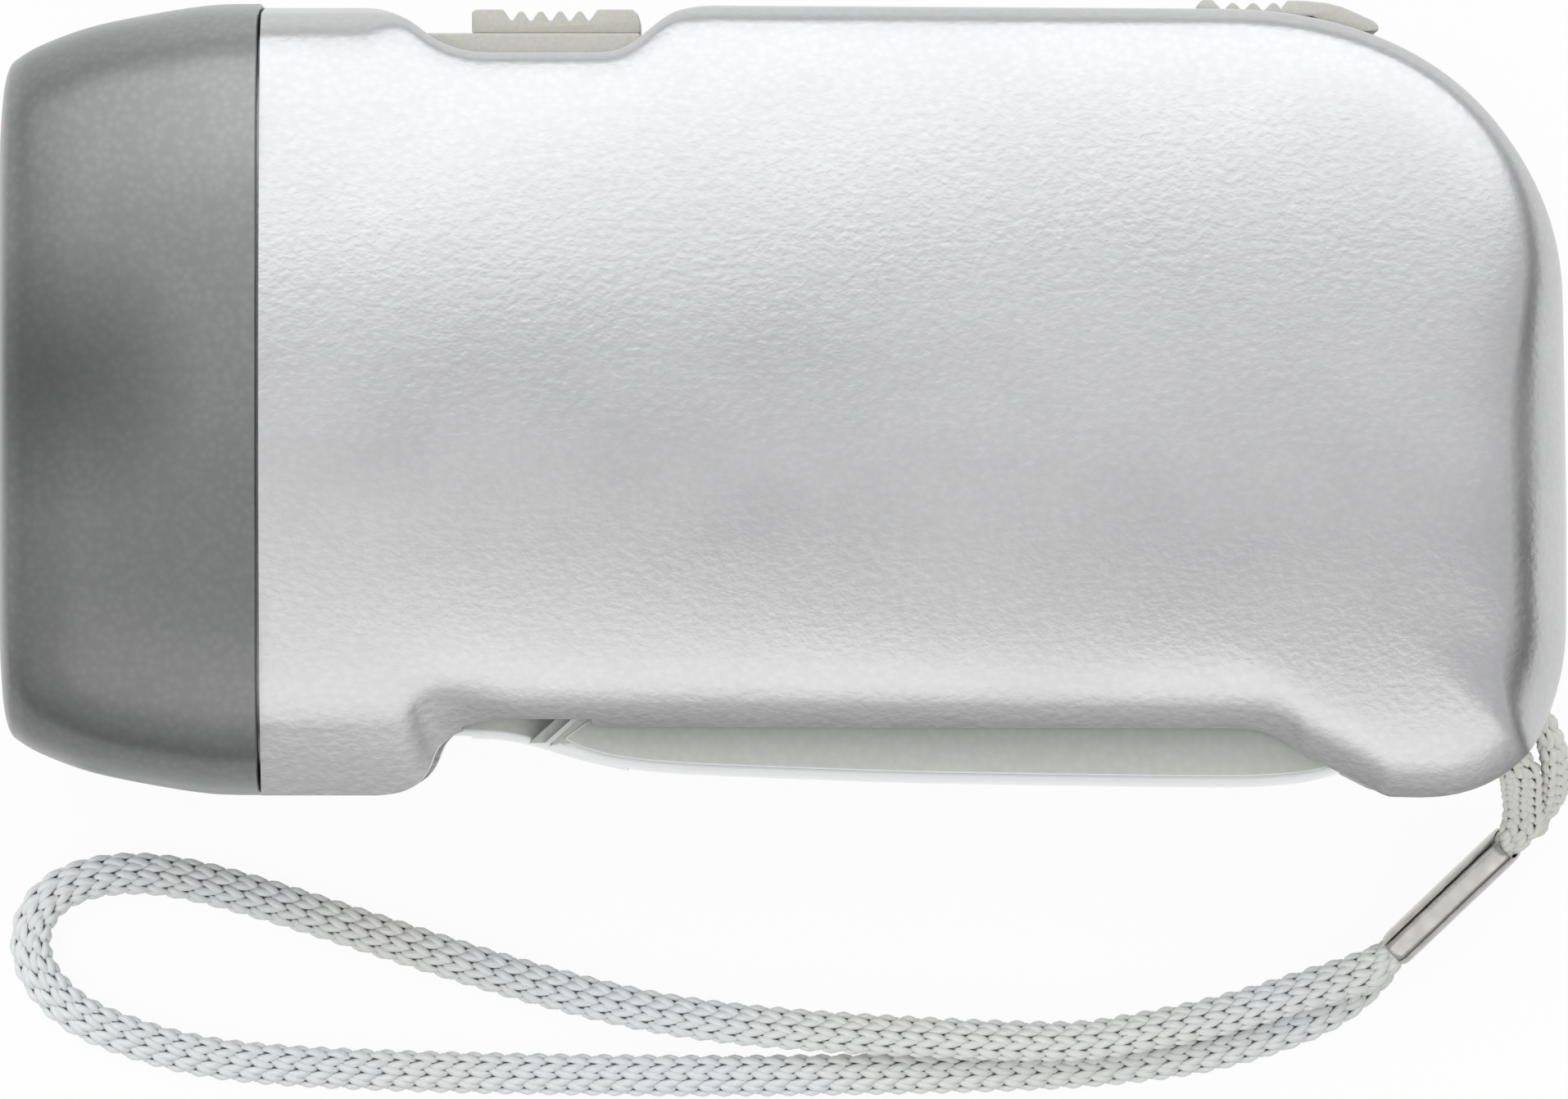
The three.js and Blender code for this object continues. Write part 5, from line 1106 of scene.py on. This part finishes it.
class TORCH_OT_light_unit(Operator):
    """Clear front plate with two domes, the reflector's bowls and the two lamps"""
    bl_idname = "torch.light_unit"
    bl_label = "Light unit"

    def execute(self, context):
        self.front_plate()
        self.reflector()
        self.lamps()
        return {"FINISHED"}

    def front_plate(self):
        """A plate with a dome at each lamp, whose profile is part of a circle of radius (r^2 + h^2) / 2h."""
        low, high = LENS_LOW, LENS_HIGH
        plate = section_plate("front_plate", HOOD_LOW.x + 1.9 * MM, low, high)
        rim, rise, back = 6.9 * MM, 1.1 * MM, high.x - 0.1 * MM
        ball = (rim ** 2 + rise ** 2) / (2 * rise)
        radius = rim * np.linspace(1, 0.001, 24)
        drop = ball - np.sqrt(ball ** 2 - radius ** 2)
        profile = [(CLOSED, back), (rim, back)] + list(zip(radius, low.x + drop))
        joined(plate, *turned_at_lamps("dome", profile))
        plastic = clear_material("Clear front plastic", (0.93, 0.95, 0.96), 0.05, 0.95)
        dress(plate, plastic, "housing", ("front_lens",), sharp=35)

    def reflector(self):
        """A plate with a bowl at each lamp, whose radius grows with the square root of the way out."""
        low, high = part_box("reflector")
        body = section_plate("reflector_cups", low.x, low, high)
        share = np.linspace(0, 1, 20)
        hole, rim, floor = 2.8 * MM, 7.0 * MM, high.x - 0.8 * MM
        bowl = list(zip(hole + (rim - hole) * np.sqrt(share), floor - (floor - low.x) * share))
        back, front = high.x + PAST, low.x - PAST
        profile = [(CLOSED, back), (hole, back)] + bowl + [(rim, front), (CLOSED, front)]
        cut_by(body, *turned_at_lamps("bowl", profile))
        chrome = grained_material("Chromed plastic", (0.86, 0.87, 0.88), 0.07, metallic=1.0, scale=600,
                                  blotch=60, bump=0.04, contrast=0.02)
        dress(body, chrome, "housing", ("reflector",), sharp=35)

    def lamps(self):
        """Each lamp is a flange and a straight side that ends in a half ball."""
        glass = clear_material("Lamp epoxy", (0.95, 0.96, 0.98), 0.06, 0.8)
        turn = np.linspace(0, math.radians(88), 16)
        for name in LAMP_NAMES:
            low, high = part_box(name)
            radius, flange, step = 2.5 * MM, (high.z - low.z) / 2, high.x - 1 * MM
            profile = [(CLOSED, high.x), (flange, high.x), (flange, step), (radius, step)]
            profile += list(zip(radius * np.cos(turn), low.x + radius - radius * np.sin(turn)))
            lamp = turned_along_x(f"{name}_bulb", profile, centre_of(name).y, MID_Z, 40)
            dress(lamp, glass, "housing", (name,), sharp=35)


# Ends along X and half width of the knob's slot in the plate, and of the knob's stem.
SLOT_FRONT, SLOT_REAR, SLOT_HALF = -20.3 * MM, -13.5 * MM, 1.4 * MM
STEM_FRONT, STEM_REAR, STEM_HALF = -16.8 * MM, -13.8 * MM, 1.1 * MM
# The lock's tail: places along the slider and depths under its top, which is two millimetres for 1.
LOCK_TAIL = [(0.494, 0.025), (0.6, 0.045), (0.716, 0.115), (0.8, 0.25), (0.872, 0.44), (0.93, 0.6),
             (0.971, 0.715), (0.998, 0.86), (1, 1.05), (0.93, 1.08), (0.82, 1.08), (0.741, 0.9)]


def ridge_profile(start, count, pitch, floor, top, per_ridge=10):
    """A row of ridges: floor + rise |sin|^1.6 of the place over the ridge, one arch per pitch."""
    t = np.arange(count * per_ridge + 1) / per_ridge
    arch = np.abs(np.sin(math.pi * t)) ** 1.6
    return np.stack([start + t * pitch, floor + (top - floor) * arch], 1)


def control_plastic(name, colour, roughness):
    """The fine, even plastic of the switch and the lock."""
    return grained_material(name, colour, roughness, scale=3500, blotch=120, bump=0.12, depth=0.02,
                            contrast=0.04)


class TORCH_OT_switch(Operator):
    """Sunk switch plate and the ridged knob on it"""
    bl_idname = "torch.switch"
    bl_label = "Switch"

    def execute(self, context):
        size = sizes()
        plastic = control_plastic("Switch plastic", colours().switch, 0.42)
        low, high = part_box("switch_plate")
        plate = block("sunk_plate", low, high)
        cut_by(plate, block("slot", (SLOT_FRONT, low.y - PAST, MID_Z - SLOT_HALF),
                            (SLOT_REAR, high.y + PAST, MID_Z + SLOT_HALF)))
        rounded(plate, size.edge * 1.3, 3)
        dress(plate, plastic, "housing", ("switch_plate",))
        dress(self.knob(), plastic, "knob", ("switch_knob",))
        return {"FINISHED"}

    def knob(self):
        """A side view with four ridges between two flats, carried across, and the stem under it."""
        low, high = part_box("switch_knob")
        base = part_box("switch_plate")[1].y + 0.06 * MM
        top = high.y
        ridges, pitch, ramp = 4, 1.31 * MM, 0.55 * MM
        left = low.x + 2.65 * MM
        right = left + ridges * pitch
        outline = np.concatenate([
            [(low.x, base), (low.x, top - 0.15 * MM), (low.x + 0.25 * MM, top), (left - ramp, top)],
            ridge_profile(left, ridges, pitch, top - 0.8 * MM, top - 0.1 * MM),
            [(right + ramp, top), (high.x - 0.5 * MM, top), (high.x - 0.1 * MM, top - 0.35 * MM),
             (high.x, top - 0.8 * MM), (high.x, base)],
        ])
        knob = extruded("ridged_knob", outline[::-1], low.z, high.z)
        rounded(knob, sizes().edge * 1.3, 3, 28)
        stem = block("stem", (STEM_FRONT, low.y, MID_Z - STEM_HALF),
                     (STEM_REAR, base + 0.4 * MM, MID_Z + STEM_HALF))
        return joined(knob, stem)


class TORCH_OT_lock(Operator):
    """Ridged lock slider with its tail, arm and hook"""
    bl_idname = "torch.lock"
    bl_label = "Lock slider"

    def execute(self, context):
        low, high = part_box("lock_slider")
        start, top = LOCK_START, high.y
        base = SHELL_HIGH.y - 0.8 * MM
        tail = [(start + a * LOCK_LENGTH, top - b * 2 * MM) for a, b in LOCK_TAIL]
        outline = np.concatenate([
            [(start, base), (start, top - 0.3 * MM), (start + 0.3 * MM, top), (start + 0.95 * MM, top)],
            ridge_profile(start + 1.65 * MM, 3, 1.37 * MM, top - 0.73 * MM, top - 0.2 * MM),
            tail, [(tail[-1][0] - 1.35 * MM, base)],
        ])
        slider = extruded("ridged_lock", outline[::-1], low.z, high.z)
        rounded(slider, sizes().edge, 3, 28)
        half = 1.5 * MM
        arm_low, arm_high, hook = top - 4.23 * MM, top - 2.83 * MM, top - 7.93 * MM
        arm_start = low.x if low.x < start - 1 * MM else start

        def bar(name, x0, y0, x1, y1):
            return block(name, (x0, y0, MID_Z - half), (x1, y1, MID_Z + half))

        joined(
            slider,
            bar("stem", start + 1.5 * MM, arm_low, start + 4 * MM, base + 0.3 * MM),
            bar("arm", arm_start, arm_low, start + 4 * MM, arm_high),
            bar("root", arm_start, hook, arm_start + 1.5 * MM, arm_high),
            bar("hook", arm_start, hook, arm_start + 5.7 * MM, hook + 1.2 * MM),
        )
        plastic = control_plastic("Lock plastic", shaded(colours().switch, 1.08)[:3], 0.4)
        dress(slider, plastic, "lock", ("lock_slider",))
        return {"FINISHED"}


# The lower lines of the lever's arm and grip: distance from the pivot, or along the grip, as a share of the
# reach, and height as a share of the half height.
ARM_LINE = [(0.1, -0.868), (0.22, -0.858), (0.36, -0.859), (0.48, -0.862), (0.6, -0.872), (0.72, -0.888),
            (0.86, -0.908), (1.0, -0.925), (1.15, -0.94)]
GRIP_LINE = [
    (0, -0.884), (0.02, -0.899), (0.045, -0.927), (0.07, -0.941), (0.1, -0.947), (0.133, -0.951),
    (0.26, -0.961), (0.394, -0.97),
    (0.5, -0.974), (0.604, -0.9774), (0.72, -0.9805), (0.8125, -0.981), (0.86, -0.9765), (0.9, -0.968),
    (0.945, -0.9436), (0.975, -0.912), (0.992, -0.888), (1, -0.872),
]
GRIP_START, GRIP_LENGTH = -12.2 * MM, 52.8 * MM
# Half widths of the front rib at its sides, its step and its core, in millimetres.
RIB_SIDE, RIB_STEP, RIB_CORE = 11.98, 11.88, 11.5
# The rack's pitch radius and tooth size, half its width, and the angles of its first tooth and its ends.
RACK_RADIUS, TOOTH, RACK_HALF = 64.0 * MM, 1.0 * MM, 2.5 * MM
FIRST_TOOTH, RACK_ENDS = 8.5, (-4.6, 40)


def crowned_bar(name, x, bottom, top, half, crown, lean=0.0):
    """Point (u, v): at x(u) a section with upright sides, whose underside hangs by crown (1 - |w|^3.2)
    below its edges at the width share w. Lean shifts the section's foot forward by its depth under the
    top. Its edges are rounded."""
    w = np.linspace(1, -1, 25)
    z = np.concatenate([[half], w * half, [-half]])
    y = np.empty((len(x), len(z)))
    y[:, 1:-1] = bottom[:, None] + crown * np.abs(w) ** 3.2
    y[:, 0] = y[:, -1] = top
    depth = np.clip((top - 0.5 * MM - y) / (1.7 * MM), 0, 1)
    rings = np.stack([x[:, None] - np.asarray(lean)[..., None] * depth, y,
                      np.broadcast_to(MID_Z + z, y.shape)], 2)
    return rounded(loft(name, rings), 0.12 * MM, 2, 40)


class TORCH_OT_lever(Operator):
    """Squeeze lever: grip with a crowned underside, its arm, and the toothed rack at its rear end"""
    bl_idname = "torch.lever"
    bl_label = "Squeeze lever"

    def execute(self, context):
        grip = self.grip()
        joined(grip, self.arm(), self.front_rib(), self.rack())
        pin = centre_of("lever_pivot_pin")
        cut_by(grip, upright("bore", 1.7 * MM, pin.x, pin.y, -1 * MM, 2 * MID_Z + 1 * MM))
        plastic = grained_material("Lever plastic", colours().lever, 0.34, scale=1600, blotch=60, bump=0.12,
                                   depth=0.02, contrast=0.035)
        # Lighter than the lever: painted reflection and painted highlight, on a glossier finish.
        glossy_painted_highlight = grained_material("Lever underside", (0.76, 0.775, 0.785), 0.14, scale=900, blotch=60,
                                    bump=0.05, depth=0.02, contrast=0.02)
        dress(grip, plastic, "lever", ("squeeze_lever",), sharp=30)
        self.paint_underside_highlight(grip.data, glossy_painted_highlight)
        return {"FINISHED"}

    def paint_underside_highlight(self, mesh, glossy_painted_highlight):
        """A glossier, lighter material goes on faces that look down and on the front rib's sides: its
        lighter colour is a painted reflection of the pale floor and a painted highlight on the rib.
        """
        mesh.materials.append(glossy_painted_highlight)
        normal, centre = np.empty((2, len(mesh.polygons) * 3))
        mesh.polygons.foreach_get("normal", normal)
        mesh.polygons.foreach_get("center", centre)
        rib = np.abs(np.abs(centre[2::3] - MID_Z) - RIB_SIDE * MM) < 0.005 * MM
        mesh.polygons.foreach_set("material_index", ((normal[1::3] < -0.85) | rib).astype(np.int32))

    def grip(self):
        """A crowned bar whose front end leans, with a channel along its upper side."""
        size = sizes()
        low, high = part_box("squeeze_lever")
        wall, floor = 1.6 * MM, 1.8 * MM
        line = smooth_through(GRIP_LINE, 3)
        x = GRIP_START + line[:, 0] * GRIP_LENGTH
        bottom = AXIS_Y + line[:, 1] * size.half_height
        top = AXIS_Y - size.half_height + 5.6 * MM
        half = (high.z - low.z) / 2
        grip = crowned_bar("lever_grip", x, bottom, top, half, 0.85 * MM,
                           3.4 * MM * (1 - eased(line[:, 0] / 0.09)))
        inside = (line[:, 0] > 0.02) & (x < GRIP_START + GRIP_LENGTH - wall)
        along, lowest = x[inside].copy(), bottom[inside] + floor
        along[0] -= 4 * MM
        channel = np.empty((len(along), 4, 3))
        channel[..., 0] = along[:, None]
        channel[..., 1] = top + PAST
        channel[:, 1:3, 1] = lowest[:, None]
        channel[..., 2] = MID_Z + np.array([1, 1, -1, -1]) * (half - wall)
        return cut_by(grip, loft("channel", channel))

    def front_rib(self):
        """A slanting web across the grip's front, with a narrow crest at each side and a step in front."""
        foot, head, width, step, crest = (np.array(v) * MM for v in (
            (-15.8, 3.6), (-12.7, 6.4), (1.8, 0), (1.05, 0), (0.45, 0)))
        corners = np.array([foot, foot + width, head + width, head]) + (0, AXIS_Y - sizes().half_height)
        front = np.array([[1], [0], [0], [1]]) * step
        back = np.array([[0], [1], [1], [0]]) * (width - crest)
        side = ((RIB_SIDE, 0, 1), (RIB_STEP, 0, 1), (RIB_STEP, 0, 0), (RIB_CORE, 0, 0), (RIB_CORE, 1, 0))
        rings = [np.insert(corners - front * inner - back * outer, 2, MID_Z + z * MM, axis=1)
                 for z, inner, outer in [(-z, a, b) for z, a, b in side] + list(side[::-1])]
        return loft("rib", rings)

    def arm(self):
        """A crowned bar from the pivot to the grip, and a round boss about the pivot."""
        size = sizes()
        px, py = PIVOT
        half, hollow = 9.2 * MM, 6.5 * MM
        line = smooth_through(ARM_LINE, 4)
        lower_edge = AXIS_Y - size.half_height
        x, bottom = px + line[:, 0] * (GRIP_START - px), AXIS_Y + line[:, 1] * size.half_height
        arm = crowned_bar("arm", x, bottom, lower_edge + 7.1 * MM, half, 0.7 * MM)
        joined(arm, upright("boss", 2.75 * MM, px, py, MID_Z - half + 0.05 * MM,
                            MID_Z + half - 0.05 * MM, 40))

        def room(x0, y0, x1):
            return block("hollow", (x0, y0, MID_Z - hollow), (x1, py + PAST, MID_Z + hollow))

        return cut_by(arm, room(px - PAST, py - PAST, px + 4.2 * MM),
                      room(px + 4 * MM, lower_edge + 5.55 * MM, GRIP_START + 3 * MM))

    def rack(self):
        """A ring sector about the pivot whose inner edge is a row of tooth spaces, one a pitch."""
        px, py = PIVOT
        tip, root, outer = (RACK_RADIUS + share * TOOTH for share in (-0.75, 1.25, 3.75))
        pitch = TOOTH / RACK_RADIUS * math.pi
        middle = math.radians(FIRST_TOOTH) + np.arange(-2, 10) * pitch
        corner = np.array([(-0.30, tip), (-0.13, root), (0.13, root), (0.30, tip)])
        angle = (middle[:, None] + corner[None, :, 0] * pitch).ravel()
        reach = np.tile(corner[:, 1], len(middle))
        first, last = (math.radians(end) for end in RACK_ENDS)
        angle = np.concatenate([[first], angle, [last], np.linspace(last, first, 40)])
        reach = np.concatenate([[tip], reach, [tip], np.full(40, outer)])
        outline = np.stack([px + reach * np.cos(angle), py + reach * np.sin(angle)], 1)
        rack = extruded("rack", outline, MID_Z - RACK_HALF, MID_Z + RACK_HALF)
        top = SHELL_HIGH.y
        hook = top - 7.6 * MM
        return cut_by(
            rack,
            block("notch", (20 * MM, hook - 0.3 * MM, 0), (26.02 * MM, hook + 1.5 * MM, 2 * MID_Z)),
            block("trim", (px, top - 4.2 * MM, 0), (REAR_X, top + 4 * MM, 2 * MID_Z)),
        )


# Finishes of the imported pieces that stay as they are.
INNER_FINISHES = {
    "steel": ("Bright steel", (0.6, 0.6, 0.61), 0.28, 1.0),
    "nylon": ("Natural nylon", (0.82, 0.8, 0.74), 0.45, 0.0),
    "brass": ("Turned brass", (0.72, 0.55, 0.27), 0.3, 1.0),
    "magnet": ("Pressed magnet", (0.07, 0.07, 0.075), 0.55, 0.2),
    "core": ("Laminated core", (0.42, 0.42, 0.43), 0.4, 0.9),
    "copper": ("Enamelled copper", (0.62, 0.26, 0.11), 0.3, 1.0),
    "board": ("Board lacquer", (0.06, 0.22, 0.1), 0.4, 0.0),
    "black": ("Black plastic", (0.03, 0.03, 0.032), 0.45, 0.0),
    "cells": ("Cell sleeve", (0.09, 0.3, 0.14), 0.35, 0.0),
    "wire": ("Wire sleeve", (0.42, 0.04, 0.03), 0.4, 0.0),
}


class TORCH_OT_inner_works(Operator):
    """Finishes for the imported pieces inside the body"""
    bl_idname = "torch.inner_works"
    bl_label = "Inner works"

    def execute(self, context):
        slots = {part["node"]: part.get("material_slot") or part.get("slot")
                 for part in frame["record"].get("subparts", []) if "node" in part}
        made = {}
        for name, obj in frame["nodes"].items():
            if obj.hide_render:
                continue
            slot = slots.get(name)
            if slot not in INNER_FINISHES:
                slot = "steel"
            if slot not in made:
                label, colour, roughness, metallic = INNER_FINISHES[slot]
                made[slot] = grained_material(label, colour, roughness, metallic=metallic, scale=1500,
                                              blotch=150, bump=0.15, depth=0.02, contrast=0.06)
            obj.data.materials.clear()
            obj.data.materials.append(made[slot])
        return {"FINISHED"}


class TORCH_PT_panel(Panel):
    bl_label = "Squeeze torch"
    bl_idname = "TORCH_PT_panel"
    bl_space_type = "VIEW_3D"
    bl_region_type = "UI"
    bl_category = "Torch"

    def draw(self, context):
        for group in (context.scene.torch_sizes, context.scene.torch_colours):
            for name in group.__annotations__:
                self.layout.prop(group, name)
        for operator in OPERATORS:
            self.layout.operator(operator.bl_idname)


OPERATORS = (
    TORCH_OT_stage, TORCH_OT_strap, TORCH_OT_shells, TORCH_OT_hood, TORCH_OT_light_unit, TORCH_OT_switch,
    TORCH_OT_lock, TORCH_OT_lever, TORCH_OT_inner_works,
)
CLASSES = (TorchSizes, TorchColours, *OPERATORS, TORCH_PT_panel)


def register():
    for cls in CLASSES:
        bpy.utils.register_class(cls)
    bpy.types.Scene.torch_sizes = PointerProperty(type=TorchSizes)
    bpy.types.Scene.torch_colours = PointerProperty(type=TorchColours)


def unregister():
    del bpy.types.Scene.torch_sizes
    del bpy.types.Scene.torch_colours
    for cls in reversed(CLASSES):
        bpy.utils.unregister_class(cls)


def main():
    register()
    grain_group()
    bpy.ops.torch.stage()
    bpy.ops.torch.strap()
    bpy.ops.torch.shells()
    bpy.ops.torch.hood()
    bpy.ops.torch.light_unit()
    bpy.ops.torch.switch()
    bpy.ops.torch.lock()
    bpy.ops.torch.lever()
    bpy.ops.torch.inner_works()


if __name__ == "__main__":
    main()
